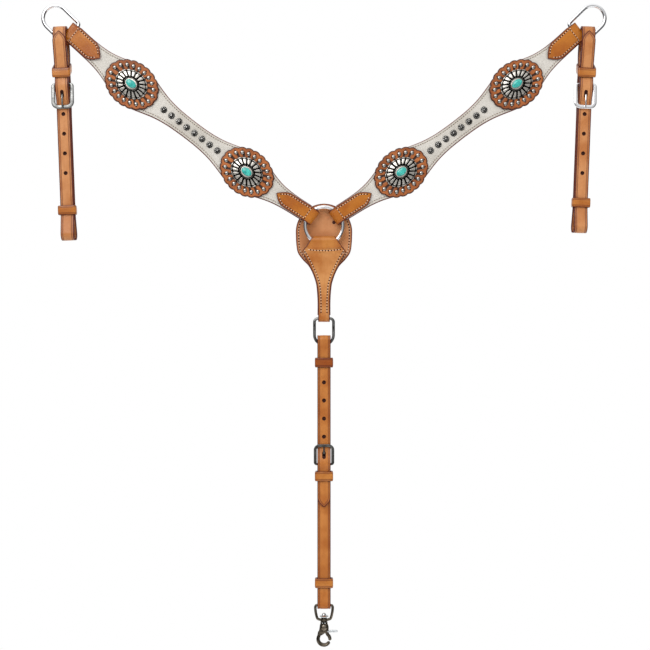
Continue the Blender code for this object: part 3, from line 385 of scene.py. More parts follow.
def rounded(points, reach=0.0030, closest=0.0003, count=7):
    """A path through 2D points, its sharper corners rounded over at most reach on both sides."""
    p = np.array(points, dtype=float)
    found = [p[0]]
    for before, corner, after in zip(p[:-2], p[1:-1], p[2:]):
        back, on = before - corner, after - corner
        a, b = np.linalg.norm(back), np.linalg.norm(on)
        if back @ on < -0.985 * a * b:
            found.append(corner)
            continue
        start = corner + back / a * min(reach, a / 2)
        end = corner + on / b * min(reach, b / 2)
        for t in np.linspace(0, 1, count):
            point = (1 - t) ** 2 * start + 2 * t * (1 - t) * corner + t * t * end
            if np.linalg.norm(point - found[-1]) > closest:
                found.append(point)
    return np.array([*found, p[-1]])


# Leather strips

def section(thickness, edge=0.0007, crease=0.0, depth=0.00016, inner=(0.7, 0.35), crown=0.0):
    """Columns (share across, inset, relief) round a strip's cross-section, front first and then back.

    The edge is a quarter circle on each face, the crease a shallow groove at its own inset, and the
    front swells by crown in the middle.
    """
    flat = thickness / 2
    turn = [(edge * (1 - math.cos(a)), 1 - edge / flat * (1 - math.sin(a)))
            for a in np.radians((0, 25, 50, 90))]
    if crease:
        line = turn + [(crease - 0.0005, 1), (crease - 0.00015, 1 - depth / flat),
                       (crease + 0.00015, 1 - depth / flat), (crease + 0.0005, 1)]
    else:
        line = turn + [(2.5 * edge, 1)]
    last = line[-1][0]
    right = [(1, b, w) for b, w in line] + [(k, last, 1 + crown / flat * (1 - k * k)) for k in inner]
    front = [(-a, b, w) for a, b, w in right] + [(0, last, 1 + crown / flat)] + right[::-1]
    back = [(1, b, -w) for b, w in turn] + [(k, last, -1) for k in (0.5, 0, -0.5)]
    return front + back + [(-1, b, -w) for b, w in turn[::-1]]


class Strip:
    """A strip of leather along a path of (depth, along), with a half-width for each distance along it.

    place turns (across, depth, along) into points. The outer face lies to the left of the path where
    outer is 1, and to its right where outer is -1.
    """

    def __init__(self, place, path, half, thickness, outer=1):
        self.place, self.half, self.thickness = place, half, thickness
        self.path = np.array(path, dtype=float)
        self.s = np.concatenate([[0], np.cumsum(np.hypot(*np.diff(self.path, axis=0).T))])
        self.length = self.s[-1]
        tangent = unit(np.gradient(self.path, self.s, axis=0))
        self.normal = outer * np.stack([-tangent[:, 1], tangent[:, 0]], 1)

    def at(self, across, along, lift):
        """Points at a distance along, lifted from the middle of the leather towards the outer face."""
        deep, up, out_deep, out_up = (np.interp(along, self.s, v)
                                      for v in (*self.path.T, *self.normal.T))
        size = np.hypot(out_deep, out_up)
        return self.place(across, deep + lift * out_deep / size, up + lift * out_up / size)

    def inset(self, along, distance):
        """(across, along) of the right edge's outline, moved in by a distance square to it."""
        slope = (self.half(along + 1e-5) - self.half(along - 1e-5)) / 2e-5
        size = np.hypot(1, slope)
        return self.half(along) - distance / size, along + distance * slope / size

    def rows(self, most=0.003, points=()):
        """Distances along: the path's own points, more where they are far apart, and dense at points."""
        found = [self.s]
        for a, b in zip(self.s[:-1], self.s[1:]):
            found.append(np.linspace(a, b, max(2, math.ceil((b - a) / most) + 1))[1:-1])
        for end, reach in points:
            found.append(end - math.copysign(reach, end - self.length / 2)
                         * (1 - np.cos(np.linspace(0, math.pi / 2, 14))))
        every = np.sort(np.concatenate(found))
        return every[np.concatenate([[True], np.diff(every) > 5e-6])]

    def mesh(self, piece, columns, points=(), most=0.003, form=None):
        """The strip as one closed grid; form gives more (along, lift) from (across, along, rim, relief)."""
        a, b, w = np.array(columns).T[:, None, :]
        s = self.rows(most, points)[:, None]
        half = self.half(s)
        ease = b * np.minimum(1, half / (2 * b.max()))
        edge, along = self.inset(s, ease)
        across = a * edge
        along = np.clip(along, 0, self.length)
        rim = (half - ease) * (1 - abs(a)) + ease
        lift = w * self.thickness / 2
        if form:
            shift, rise = form(across, along, rim, w)
            along, lift = along + shift, lift + rise
        points = self.at(across, along, lift)
        lay = np.stack(np.broadcast_arrays(across, along), -1)
        chart = np.stack(np.broadcast_arrays(rim, w / 2 + 0.5), -1)
        piece.grid(points, lay=lay, rim=chart, caps=True)

    def seam(self, start, end, inset, pitch, sides=(-1, 1), round_tip=False, face=1):
        """Stitch centres and directions along the outline, inset from it, on the outer or inner face."""
        s = np.linspace(start, end, 400)
        across, along = self.inset(s, inset)
        keep = across > 0
        across, along = across[keep], along[keep]
        runs = [(side * across, along) for side in sides]
        if round_tip:
            runs = [(np.concatenate([-across, across[::-1]]), np.concatenate([along, along[::-1]]))]
        return [self.stitch_line(x, y, pitch, face) for x, y in runs]

    def stitch_line(self, across, along, pitch, face=1):
        """Evenly spaced places on a line over the strip: centres, directions along, aside and out."""
        lift = face * self.thickness / 2
        line = self.at(across, along, lift)
        run = np.concatenate([[0], np.cumsum(np.linalg.norm(np.diff(line, axis=0), axis=1))])
        count = max(2, int(run[-1] / pitch))
        at = (np.arange(count) + 0.5) * run[-1] / count
        across, along = np.interp(at, run, across), np.interp(at, run, along)
        ahead = [np.interp(at + 1e-4, run, line[:, k]) - np.interp(at - 1e-4, run, line[:, k])
                 for k in range(3)]
        forward = unit(np.stack(ahead, -1))
        out = unit(self.at(across, along, 2 * lift) - self.at(across, along, lift))
        return self.at(across, along, lift), forward, np.cross(out, forward), out


def capsule(length, width, height):
    """A stitch: a blunt ellipsoid of these sizes, its poles at the ends of the length."""
    a = np.linspace(0, math.pi, 6)[:, None]
    b = np.linspace(0, 2 * math.pi, 8, endpoint=False)
    ring = np.sin(a) ** 0.6
    return np.stack(np.broadcast_arrays(-length / 2 * np.cos(a), width / 2 * ring * np.cos(b),
                                        height * ring * np.sin(b)), -1)


def button(radius, height, depth, rows, columns):
    """Half an ellipsoid, height above the surface, on a flat base that lies depth below it."""
    a = np.linspace(0, 1, rows)
    r = np.concatenate([a, [1, 0]])[:, None] * radius
    h = np.concatenate([height * np.sqrt(1 - a**2), [-depth, -depth]])[:, None]
    b = np.linspace(0, 2 * math.pi, columns, endpoint=False)
    return np.stack(np.broadcast_arrays(r * np.cos(b), r * np.sin(b), h), -1)


def sew(piece, seams, pitch=STITCH_PITCH, wide=0.00070, share=0.46, sink=0.00004, shade_radius=0.00100):
    """Threads along the seams, each between two small dark discs of painted shade that stand for the stitch
    holes.

    A thread is a share of the pitch long. It takes the piece's second finish and the shade discs the third.
    """
    stitch = capsule(pitch * share, wide, wide * 0.36)
    # Each stitch hole is a flat dark disc in the painted hole shade.
    shade_dot = button(shade_radius, 0.00004, 0.0001, 3, 8)
    for centres, forward, aside, out in seams:
        piece.stamp(stitch, centres - out * sink, forward, aside, out, 1)
        piece.stamp(shade_dot, centres + forward * pitch / 2, forward, aside, out, 2)


# Metal

def tube(piece, path, radius, plane, closed=True, look=0, columns=14, squash=1.0):
    """Round wire along points in a plane, its ends rounded off where it isn't closed."""
    path = np.array(path, dtype=float)
    if closed:
        tangent = unit(np.roll(path, -1, 0) - np.roll(path, 1, 0))
        radius = np.broadcast_to(radius, len(path))
    else:
        tangent = unit(np.gradient(path, axis=0))
        turn = np.linspace(0, math.pi / 2, 5)[1:]
        radius = np.broadcast_to(radius, len(path))
        head = [path[0] - tangent[0] * radius[0] * math.sin(a) for a in turn[::-1]]
        tail = [path[-1] + tangent[-1] * radius[-1] * math.sin(a) for a in turn]
        path = np.vstack([head, path, tail])
        tangent = np.vstack([[tangent[0]] * 4, tangent, [tangent[-1]] * 4])
        radius = np.concatenate([radius[0] * np.cos(turn[::-1]), radius, radius[-1] * np.cos(turn)])
    aside = np.cross(plane, tangent)
    b = np.linspace(0, 2 * math.pi, columns, endpoint=False)[None, :, None]
    r = radius[:, None, None]
    points = path[:, None] + r * (np.cos(b) * aside[:, None] + squash * np.sin(b) * np.array(plane))
    piece.grid(points, closed=(closed, True), look=look)


def rounded_box(width, height, radius, lower=None):
    """The outline of a rectangle round the origin, its lower corners rounder if lower is given."""
    points = []
    for right, up, start in ((1, 1, 0), (-1, 1, 90), (-1, -1, 180), (1, -1, 270)):
        bend = lower if lower and up < 0 else radius
        centre = (right * (width / 2 - bend), up * (height / 2 - bend))
        points += arc(centre, bend, start, start + 90, 9)
    return np.array(points)


def hoop(piece, axes, outer, inner, low, high, softness, crown=0.0, columns=20):
    """A band between two outlines with matching points, from low to high along the axes' up.

    Its cross-section is a superellipse, |x|^n + |y|^n = 1 with n the softness; crown bulges it outwards.
    """
    b = np.linspace(0, 2 * math.pi, columns, endpoint=False)
    c, s = np.cos(b), np.sin(b)
    u = np.sign(c) * abs(c) ** (2 / softness)
    v = np.sign(s) * abs(s) ** (2 / softness)
    swell = crown * np.maximum(u, 0) * (1 - v * v)
    middle, half = (outer + inner) / 2, (outer - inner) / 2
    wide = middle[:, None] + half[:, None] * (u[None, :, None] + swell[None, :, None])
    up = (low + high) / 2 + v * (high - low) / 2
    points = put(axes, wide[..., 0], wide[..., 1], np.broadcast_to(up, wide.shape[:2]))
    run = np.concatenate([[0], np.cumsum(np.hypot(*np.diff(outer, axis=0).T))])
    lay = np.stack(np.broadcast_arrays(v * (high - low) / 2, run[:, None]), -1)
    edge = (1 - abs(v)) * (high - low) / 2 * np.where(u > 0, 1, 0.5)
    rim = np.broadcast_to(np.stack([edge, (u > 0) * 1.0], -1), (*wide.shape[:2], 2))
    piece.grid(points, closed=(True, True), lay=lay, rim=rim)


def relief(piece, place, outline, height, back, rows, columns):
    """A shape raised from a base: at a share of the outline and an angle, height gives (rise, relief)."""
    share = np.linspace(0, 1, rows)[:, None]
    angle = np.linspace(0, 2 * math.pi, columns, endpoint=False)
    rise, cut = height(share, angle)
    x, y = outline(angle)
    share = np.vstack([share, [[1.0]], [[0.0]]])
    rise = np.vstack([np.broadcast_to(rise, (rows, columns)), np.full((2, columns), back)])
    cut = np.vstack([np.broadcast_to(cut, (rows, columns)), np.zeros((2, columns))])
    across, up = share * x, share * y
    rim = np.stack([(1 - share) * np.hypot(x, y), cut], -1)
    piece.grid(place(across, rise, up), lay=np.stack([across, up], -1), rim=rim)


# Finishes

def rgb(red, green, blue):
    """A colour as eyes see it, 0 to 255, in the linear values that a shader takes."""
    shares = np.array([red, green, blue]) / 255
    linear = np.where(shares <= 0.04045, shares / 12.92, ((shares + 0.055) / 1.055) ** 2.4)
    return (*linear.tolist(), 1.0)


class Finish:
    """A material built node by node."""

    def __init__(self, name, roughness, metallic=0.0, **sockets):
        self.material = bpy.data.materials.new(name)
        self.material.use_nodes = True
        self.tree = self.material.node_tree
        self.shader = self.tree.nodes["Principled BSDF"]
        self.shader.inputs["Roughness"].default_value = roughness
        self.shader.inputs["Metallic"].default_value = metallic
        for socket, value in sockets.items():
            self.shader.inputs[socket.replace("_", " ")].default_value = value

    def node(self, kind, out=0, settings=None, **sockets):
        """Adds a node; sockets take values or other nodes' outputs, by name or as _0, _1 and so on."""
        node = self.tree.nodes.new("ShaderNode" + kind)
        for key, value in (settings or {}).items():
            setattr(node, key, value)
        for key, value in sockets.items():
            target = node.inputs[int(key[1:]) if key[0] == "_" else key.replace("_", " ")]
            if isinstance(value, bpy.types.NodeSocket):
                self.tree.links.new(value, target)
            else:
                target.default_value = value
        return node.outputs[out]

    def noise(self, scale, detail=3.0, source=None, stretch=(1, 1, 1), rough=0.5):
        """Noise over object space or a UV map, stretched by a scale for each axis."""
        place = source or self.node("TexCoord", 3)
        moved = self.node("Mapping", Vector=place, Scale=stretch)
        return self.node("TexNoise", Vector=moved, Scale=scale, Detail=detail, Roughness=rough)

    def cells(self, scale, feature="F1"):
        """Cells of random size over object space."""
        place = self.node("TexCoord", 3)
        return self.node("TexVoronoi", settings={"feature": feature}, Vector=place, Scale=scale)

    def chart(self, name):
        """The piece's own UV map."""
        return self.node("UVMap", settings={"uv_map": name})

    def rim(self):
        """Distance from the edge in metres, and relief, from the rim map."""
        split = self.tree.nodes.new("ShaderNodeSeparateXYZ")
        self.tree.links.new(self.chart("rim"), split.inputs[0])
        return split.outputs[0], split.outputs[1]

    def span(self, value, low, high, start=0.0, end=1.0):
        """A value mapped smoothly from low..high to start..end."""
        return self.node("MapRange", settings={"interpolation_type": "SMOOTHSTEP"}, Value=value, _1=low,
                         _2=high, _3=start, _4=end)

    def sum(self, a, b, operation="ADD"):
        """Arithmetic on two values."""
        return self.node("Math", settings={"operation": operation}, _0=a, _1=b)

    def blend(self, share, a, b, how="MIX"):
        """Colour a with colour b laid over it by a share."""
        return self.node("Mix", 2, {"data_type": "RGBA", "blend_type": how}, _0=share, _6=a, _7=b)

    def bump(self, height, distance, strength=1.0, normal=None):
        """A bump whose height runs over a distance in metres."""
        below = {} if normal is None else {"Normal": normal}
        return self.node("Bump", Height=height, Distance=distance, Strength=strength, **below)

    def wear(self, **sockets):
        """Links outputs to the shader's own sockets and gives back the material."""
        for key, value in sockets.items():
            self.tree.links.new(value, self.shader.inputs[key.replace("_", " ")])
        return self.material


def leather(name, base, dark, edge, roughness, crease=0.0, pores=1.0, gloss=0.0, burnish_and_shade=0.0011,
            dye=None):
    """Vegetable-tanned leather: mottled colour, pores, a burnished edge widened with painted shade, and
    painted shade along the crease.

    Where the relief is cut down, the leather takes the dye.
    """
    f = Finish(name, roughness, Specular_IOR_Level=0.32, Coat_Weight=gloss, Coat_Roughness=0.28)
    rim, cut = f.rim()
    lay = f.chart("lay")
    mottle = f.span(f.noise(38, 4), 0.32, 0.72)
    colour = f.blend(mottle, base, dark)
    streak = f.span(f.noise(1, 4, lay, (260, 34, 1)), 0.42, 0.75, 0.0, 0.34)
    colour = f.blend(streak, colour, dark)
    speck = f.span(f.noise(900, 2), 0.60, 0.80, 0.0, 0.30)
    colour = f.blend(speck, colour, edge)
    if crease:
        # Painted shade: the crease line is darkened towards the edge colour.
        off = f.sum(f.sum(rim, crease, "SUBTRACT"), 0.0, "ABSOLUTE")
        colour = f.blend(f.span(off, 0.0001, 0.0008, 0.72, 0.0), colour, edge)
    # Darker by up to a sixth towards the edge band, starting 4.2 mm in from the edge.
    colour = f.blend(f.span(rim, burnish_and_shade, 0.0042, 0.16, 0.0), colour, edge)
    # The burnished edge paint, widened so that it also paints the shade on the leather's side; its inner
    # border is ragged with noise.
    edge_paint_and_shade = f.sum(rim, f.sum(f.noise(300, 2), 0.0006, "MULTIPLY"), "SUBTRACT")
    colour = f.blend(f.span(edge_paint_and_shade, burnish_and_shade * 0.45, burnish_and_shade, 0.97, 0.0), colour, edge)
    if dye:
        stain = f.sum(cut, f.sum(f.noise(500, 3), 0.4, "MULTIPLY"))
        colour = f.blend(f.span(stain, 0.35, 1.15, 0.95, 0.0), colour, dye)
    grain = f.bump(f.cells(1500), 0.00006, 0.30 * pores)
    grain = f.bump(f.noise(240, 4), 0.00018, 0.45 * pores, grain)
    rough = f.span(f.noise(120, 3), 0.30, 0.75, roughness - 0.09, roughness + 0.12)
    return f.wear(Base_Color=colour, Roughness=rough, Normal=grain)


def hide():
    """Short cowhide hair lying along the wing: fine pale strands with faint darker ones."""
    f = Finish("cowhide_hair", 0.78, Sheen_Weight=0.25, Sheen_Roughness=0.5, Specular_IOR_Level=0.25)
    lay = f.chart("lay")
    rim, _ = f.rim()
    drift = f.noise(22, 3)
    patch = f.blend(f.span(drift, 0.35, 0.70), rgb(214, 209, 201), rgb(194, 188, 178))
    strand = f.noise(1, 5, lay, (2300, 240, 1), 0.65)
    colour = f.blend(f.span(strand, 0.50, 0.78, 0.0, 0.75), patch, rgb(160, 152, 142))
    colour = f.blend(f.span(strand, 0.30, 0.46, 0.60, 0.0), colour, rgb(238, 235, 229))
    colour = f.blend(f.span(rim, 0.0, 0.0008, 0.55, 0.0), colour, rgb(140, 122, 106))
    tuft = f.noise(1, 4, lay, (700, 90, 1))
    fur = f.bump(strand, 0.00035, 0.55)
    fur = f.bump(tuft, 0.0006, 0.5, fur)
    return f.wear(Base_Color=colour, Normal=fur)


def chrome():
    """Polished plate with faint swirls and a slightly uneven surface."""
    f = Finish("chrome_plate", 0.10, 1.0)
    swirl = f.noise(1, 5, stretch=(300, 900, 300), rough=0.7)
    haze = f.span(f.noise(160, 3), 0.45, 0.80, 0.0, 0.25)
    colour = f.blend(haze, rgb(246, 246, 248), rgb(214, 214, 218))
    rough = f.span(swirl, 0.40, 0.80, 0.08, 0.18)
    return f.wear(Base_Color=colour, Roughness=rough, Normal=f.bump(f.noise(60, 2), 0.0001, 0.2))


def antique(name, bright, dark, roughness, low=0.25, high=0.85):
    """Antiqued metal: raised parts rubbed bright, the relief between them blackened."""
    f = Finish(name, roughness, 1.0)
    _, relief_share = f.rim()
    grime = f.sum(f.noise(420, 4), f.sum(relief_share, 0.75, "MULTIPLY"))
    colour = f.blend(f.span(grime, 0.5 + low * 0.75, 0.5 + high * 0.75), dark, bright)
    rough = f.span(f.noise(260, 3), 0.30, 0.75, roughness - 0.08, roughness + 0.16)
    return f.wear(Base_Color=colour, Roughness=rough, Normal=f.bump(f.noise(700, 3), 0.00008, 0.5))


def rubbed(name, bright, dark, roughness):
    """Plain dark or grey metal, rubbed brighter in patches."""
    f = Finish(name, roughness, 1.0)
    patch = f.span(f.noise(150, 4, rough=0.6), 0.34, 0.68)
    fine = f.span(f.noise(1100, 3), 0.45, 0.75, 0.0, 0.5)
    colour = f.blend(fine, f.blend(patch, dark, bright), dark)
    rough = f.span(f.noise(220, 3), 0.30, 0.75, roughness - 0.08, roughness + 0.18)
    return f.wear(Base_Color=colour, Roughness=rough, Normal=f.bump(f.noise(600, 3), 0.0001, 0.45))


def stone():
    """Turquoise with a brown web of veins and a polished skin."""
    f = Finish("turquoise_stone", 0.16, Coat_Weight=0.4, Coat_Roughness=0.08)
    cloud = f.span(f.noise(260, 4), 0.30, 0.72)
    colour = f.blend(cloud, rgb(70, 205, 190), rgb(34, 160, 155))
    web = f.cells(430, feature="DISTANCE_TO_EDGE")
    colour = f.blend(f.span(web, 0.0, 0.045, 0.65, 0.0), colour, rgb(70, 62, 40))
    return f.wear(Base_Color=colour, Normal=f.bump(f.noise(500, 2), 0.00006, 0.3))


def thread(name, colour, shade):
    """Twisted waxed thread: fine diagonal plies."""
    f = Finish(name, 0.55, Sheen_Weight=0.2)
    ply = f.noise(1, 2, stretch=(2600, 2600, 2600))
    tone = f.blend(f.span(ply, 0.40, 0.70, 0.0, 0.6), colour, shade)
    return f.wear(Base_Color=tone, Normal=f.bump(ply, 0.0001, 0.6))


def hole_shade():
    """Painted shade: a dark brown standing for the shade inside stitch holes, punched holes, the awl hole
    and the dots beside the ball spots.
    """
    f = Finish("painted_hole_shade", 0.85)
    tone = f.blend(f.span(f.noise(900, 2), 0.40, 0.70), rgb(78, 34, 20), rgb(44, 18, 12))
    return f.wear(Base_Color=tone, Normal=f.bump(f.noise(1200, 2), 0.0001, 0.6))


BURGUNDY = rgb(92, 34, 20)
DYE = rgb(40, 20, 15)
OXBLOOD = rgb(92, 34, 18)
STRAP_LEATHER = leather("strap_leather", rgb(196, 124, 58), rgb(170, 96, 34), BURGUNDY, 0.42,
                        STRAP_CREASE, gloss=0.08, burnish_and_shade=0.0013)
TAB_LEATHER = leather("tab_leather", rgb(186, 112, 30), rgb(156, 80, 14), OXBLOOD, 0.36, gloss=0.12,
                      burnish_and_shade=0.0012)
TUG_LEATHER = leather("uptug_leather", rgb(206, 142, 90), rgb(180, 110, 56), BURGUNDY, 0.42,
                      STRAP_CREASE, gloss=0.08, burnish_and_shade=0.0013)
LOOP_LEATHER = leather("loop_leather", rgb(198, 130, 60), rgb(172, 98, 34), OXBLOOD, 0.34, gloss=0.2,
                       burnish_and_shade=0.0010)
KEEPER_LEATHER = leather("keeper_leather", rgb(196, 126, 56), rgb(168, 94, 28), rgb(104, 44, 18), 0.30,
                         KEEPER_CREASE, gloss=0.2, burnish_and_shade=0.0008)
DARK_KEEPER_LEATHER = leather("dark_keeper_leather", rgb(152, 76, 18), rgb(126, 54, 8), rgb(80, 28, 10),
                              0.30, KEEPER_CREASE, gloss=0.2, burnish_and_shade=0.0008)
PLATE_LEATHER = leather("plate_leather", rgb(206, 144, 96), rgb(182, 116, 68), rgb(104, 42, 26), 0.50,
                        pores=1.5, burnish_and_shade=0.0014)
OVERLAY_LEATHER = leather("overlay_leather", rgb(206, 142, 82), rgb(172, 98, 34), rgb(94, 38, 20), 0.42,
                          gloss=0.08, burnish_and_shade=0.0012)
ROSETTE_LEATHER = leather("rosette_leather", rgb(186, 108, 54), rgb(142, 76, 34), rgb(64, 22, 10), 0.45,
                          gloss=0.08, burnish_and_shade=0.0014, dye=DYE)
LINING_LEATHER = leather("lining_leather", rgb(122, 62, 46), rgb(90, 42, 32), rgb(116, 52, 40), 0.55)
HIDE = hide()
CHROME = chrome()
CONCHO_SILVER = antique("concho_silver", rgb(206, 202, 194), rgb(14, 12, 11), 0.32, 0.2, 0.9)
SPOT_SILVER = antique("spot_silver", rgb(176, 174, 170), rgb(14, 12, 11), 0.24, 0.2, 0.95)
OLD_STEEL = rubbed("old_steel", rgb(160, 160, 158), rgb(58, 56, 54), 0.28)
BUCKLE_GREY = rubbed("buckle_grey", rgb(158, 158, 156), rgb(120, 120, 118), 0.34)
GUNMETAL = rubbed("gunmetal_brown", rgb(122, 112, 98), rgb(62, 56, 48), 0.28)
DARK_STEEL = rubbed("dark_steel", rgb(116, 116, 114), rgb(66, 64, 62), 0.32)
RUBBED_RIVET = rubbed("rubbed_rivet", rgb(176, 168, 156), rgb(104, 94, 80), 0.24)
BRIGHT_STEEL = rubbed("bright_steel", rgb(224, 228, 230), rgb(190, 194, 196), 0.20)
STONE = stone()
WHITE_THREAD = thread("white_thread", rgb(246, 232, 212), rgb(206, 180, 150))
HIDE_THREAD = thread("beige_thread", rgb(206, 190, 168), rgb(168, 148, 122))
# Painted shade for the insides of holes.
HOLE_SHADE = hole_shade()
SEWN = [WHITE_THREAD, HOLE_SHADE]
TUG_BUCKLE_LOOKS = {"left": ("antique_silver", BUCKLE_GREY), "right": ("bright_chrome", CHROME)}


# Wings

def wing_axes(side):
    """The frame of a wing: along its axis, its depth and across it."""
    sign = SIDES[side]
    along = np.array([sign * math.cos(WING_SLOPE), 0, math.sin(WING_SLOPE)])
    return np.array([(0, 0, 0), along, Y, (-sign * math.sin(WING_SLOPE), 0, math.cos(WING_SLOPE))])


def wing_half(t):
    """Half-width of a wing: a taper, and a bell under each rosette."""
    share = (t - WING_START) / (WING_END - WING_START)
    half = WING_HALF_INNER + (WING_HALF_OUTER - WING_HALF_INNER) * share
    for side in (-1, 1):
        off = (t - WING_MIDDLE) * side - ROSETTE_SPACING / 2
        reach = np.where(off > 0, BULGE_REACH_END, BULGE_REACH_MIDDLE)
        half = half + WING_BULGE * np.exp(-0.5 * (off / reach) ** 2)
    return half


def wing_line(t):
    """How far the middle line of a wing lies below its axis."""
    share = 2 * (t - WING_MIDDLE) / (WING_END - WING_START)
    return -WING_BOW * np.maximum(0.0, 1 - abs(share) ** 3)


def wing_place(side):
    """Turns (across, depth, along) on a wing into points."""
    axes = wing_axes(side)
    return lambda across, deep, along: put(axes, along, deep, wing_line(along) + across)


def pile(across, along, rim, w):
    """Cowhide hair: the front sinks along the stitching and ripples a little elsewhere."""
    groove = -0.00045 * np.exp(-(((rim - WING_STITCH + HIDE_INSET) / 0.0009) ** 2))
    ripple = 0.00006 * np.sin(across * 1900 + 3 * np.sin(along * 210)) * np.sin(along * 640)
    return 0 * along, (w > 0.9) * (groove + ripple - 0.00006)


def wing_layers(side):
    """The lining and the cowhide of a wing, sewn together round the edge."""
    place = wing_place(side)
    middle = (GAP + LAYER_THICKNESS) / 2
    lining = Strip(place, [(middle, WING_START), (middle, WING_END)],
                   lambda s: wing_half(s + WING_START), LAYER_THICKNESS)
    piece = Piece(f"{side}_wing_lining_sewn")
    lining.mesh(piece, section(LAYER_THICKNESS, 0.0006, 0, inner=(0.75, 0.5, 0.25)))
    last = lining.length - WING_SEAM_END
    sew(piece, lining.seam(WING_SEAM_END, last, WING_STITCH, WING_PITCH, face=-1), WING_PITCH)
    piece.done("wings", "dark_leather", [LINING_LEATHER, HIDE_THREAD, HOLE_SHADE], f"{side}_wing_lining")
    top = Strip(place, [(-middle, WING_START), (-middle, WING_END)],
                lambda s: wing_half(s + WING_START) - HIDE_INSET, LAYER_THICKNESS)
    piece = Piece(f"{side}_wing_cowhide_sewn")
    columns = section(LAYER_THICKNESS, 0.0009, WING_STITCH - HIDE_INSET, 0.0,
                      inner=tuple(np.linspace(0.92, 0.08, 11)))
    top.mesh(piece, columns, most=0.0016, form=pile)
    seams = top.seam(WING_SEAM_END, last, WING_STITCH - HIDE_INSET, WING_PITCH)
    sew(piece, seams, WING_PITCH, 0.0006, 0.6, 0.00030, 0.00050)
    piece.done("wings", "cowhide", [HIDE, HIDE_THREAD, HOLE_SHADE], f"{side}_wing_cowhide")


def gothic(half, reach, left, blunt=0.0004):
    """Half-width near a pointed end, from the distance left to it."""
    share = np.clip(1 - left / reach, 0, 1)
    return np.where(left >= reach, half, blunt + (half - blunt) * (1 - share**1.9))


def tab(side, end, sizes):
    """A strip folded round a ring, sewn through the wing, with a pointed end on each face."""
    place = wing_place(side)
    outward, half = sizes["outward"], sizes["half"]
    bend = TAB_FOLD + TAB_THICKNESS / 2
    centre = sizes["face"] - outward * (TAB_THICKNESS / 2 + bend)
    tip = sizes["face"] - outward * sizes["length"]
    turn = [(-bend * math.cos(a), centre + outward * bend * math.sin(a))
            for a in np.linspace(0, math.pi, 19)]
    path = [(-bend, tip), *turn, (bend, tip)]
    strip = Strip(place, path, None, TAB_THICKNESS, outward)
    strip.half = lambda s: gothic(half, TAB_POINT, np.minimum(s, strip.length - s))
    piece = Piece(f"{side}_{end}_tab_sewn")
    ends = ((0.0, TAB_POINT), (strip.length, TAB_POINT))
    strip.mesh(piece, section(TAB_THICKNESS, 0.0005, TAB_STITCH, 0.00012), points=ends, most=0.002)
    fold = abs(centre - tip)
    first, last = 0.0032, fold - 0.006
    seams = strip.seam(first, last, TAB_STITCH, STITCH_PITCH, round_tip=True)
    seams += strip.seam(strip.length - first, strip.length - last, TAB_STITCH, STITCH_PITCH,
                        round_tip=True)
    sew(piece, seams)
    piece.done("wings", "tan_leather", [TAB_LEATHER, *SEWN], f"{side}_{end}_tab")


ROSETTE_FACE = GAP / 2 + LAYER_THICKNESS + GAP + ROSETTE_THICKNESS
CONCHO_BASE = ROSETTE_FACE + GAP
STONE_BASE = CONCHO_BASE + CONCHO_HEIGHT + GAP
BALL_TURN = np.linspace(0, 2 * math.pi, 721)
BALL_STEPS = np.hypot(BALL_LONG * np.diff(np.cos(BALL_TURN)), BALL_SHORT * np.diff(np.sin(BALL_TURN)))
BALL_RUN = np.concatenate([[0], np.cumsum(BALL_STEPS)]) / np.sum(BALL_STEPS) * SCALLOPS


def scallops(angle):
    """How many scallops there are from angle 0 to this one, evenly spaced along the spots' oval."""
    return np.interp(angle, BALL_TURN, BALL_RUN)


def oval(long, short, lobe=0.0):
    """The outline of an oval with lobes: (across, up) for an angle."""
    return lambda angle: ((long + (lobe(angle) if lobe else 0)) * np.cos(angle),
                          (short + (lobe(angle) if lobe else 0)) * np.sin(angle))


def scallop(angle):
    """How far the rosette's edge stands out in a scallop, and in between."""
    return SCALLOP_DEPTH * (1.6 * abs(np.sin(math.pi * scallops(angle))) ** 0.7 - 0.6)


def tooled(share, angle):
    """Flat leather with a rounded edge, and a dyed spear cut from the concho towards each spot."""
    edge = 0.0008 * np.clip((share - 0.965) / 0.035, 0, 1) ** 2
    off = abs((scallops(angle) % 1) - 0.5) * 2
    spear = step(share, 0.56, 0.62) * (1 - step(share, 0.74, 0.88)) * (1 - step(off, 0.26, 0.56))
    return ROSETTE_FACE - edge - 0.00045 * spear, 1 - spear


def fluted(angle):
    """How far the concho's edge stands out at each petal."""
    return 0.0006 * abs(np.sin(PETALS * angle / 2)) ** 0.7


def engraved(share, angle):
    """A dome with a roped bezel round the stone, petals cut between rays, and a beaded border."""
    dome = CONCHO_HEIGHT * (0.30 + 0.64 * (1 - share**2.6))
    beads = np.exp(-(((share - 0.42) / 0.030) ** 2)) * step(np.cos(2 * PETALS * angle), -0.2, 0.7)
    ray = abs(np.sin(PETALS * angle / 2))
    out = np.clip((share - 0.50) / 0.36, 0, 1)
    petal = step(share, 0.49, 0.53) * (1 - step(share, 0.84, 0.90))
    edge = 0.82 - 0.50 * out**0.8 + 0.30 * step(share, 0.78, 0.88)
    body = petal * step(ray, edge - 0.10, edge + 0.08)
    border = step(share, 0.90, 0.93) * (0.35 + 0.35 * step(ray, 0.3, 0.8))
    collar = 1 - step(share, 0.355, 0.375)
    shine = np.clip(np.maximum(np.maximum(body, border), np.maximum(collar, 0.8 * beads)), 0, 1)
    bulge = 0.00035 * body * (1 - ((1 - ray) * 1.2) ** 2)
    skirt = 0.0009 * step(share, 0.965, 1.0)
    return CONCHO_BASE + dome + 0.0003 * beads + bulge - 0.00070 * (1 - shine) - skirt, shine


def cabochon(share, angle):
    """A low dome on a short straight skirt."""
    rise = STONE_HEIGHT * (0.25 + 0.75 * np.sqrt(1 - 0.98 * share**2))
    return STONE_BASE + rise + 0 * angle, 1 + 0 * share * angle


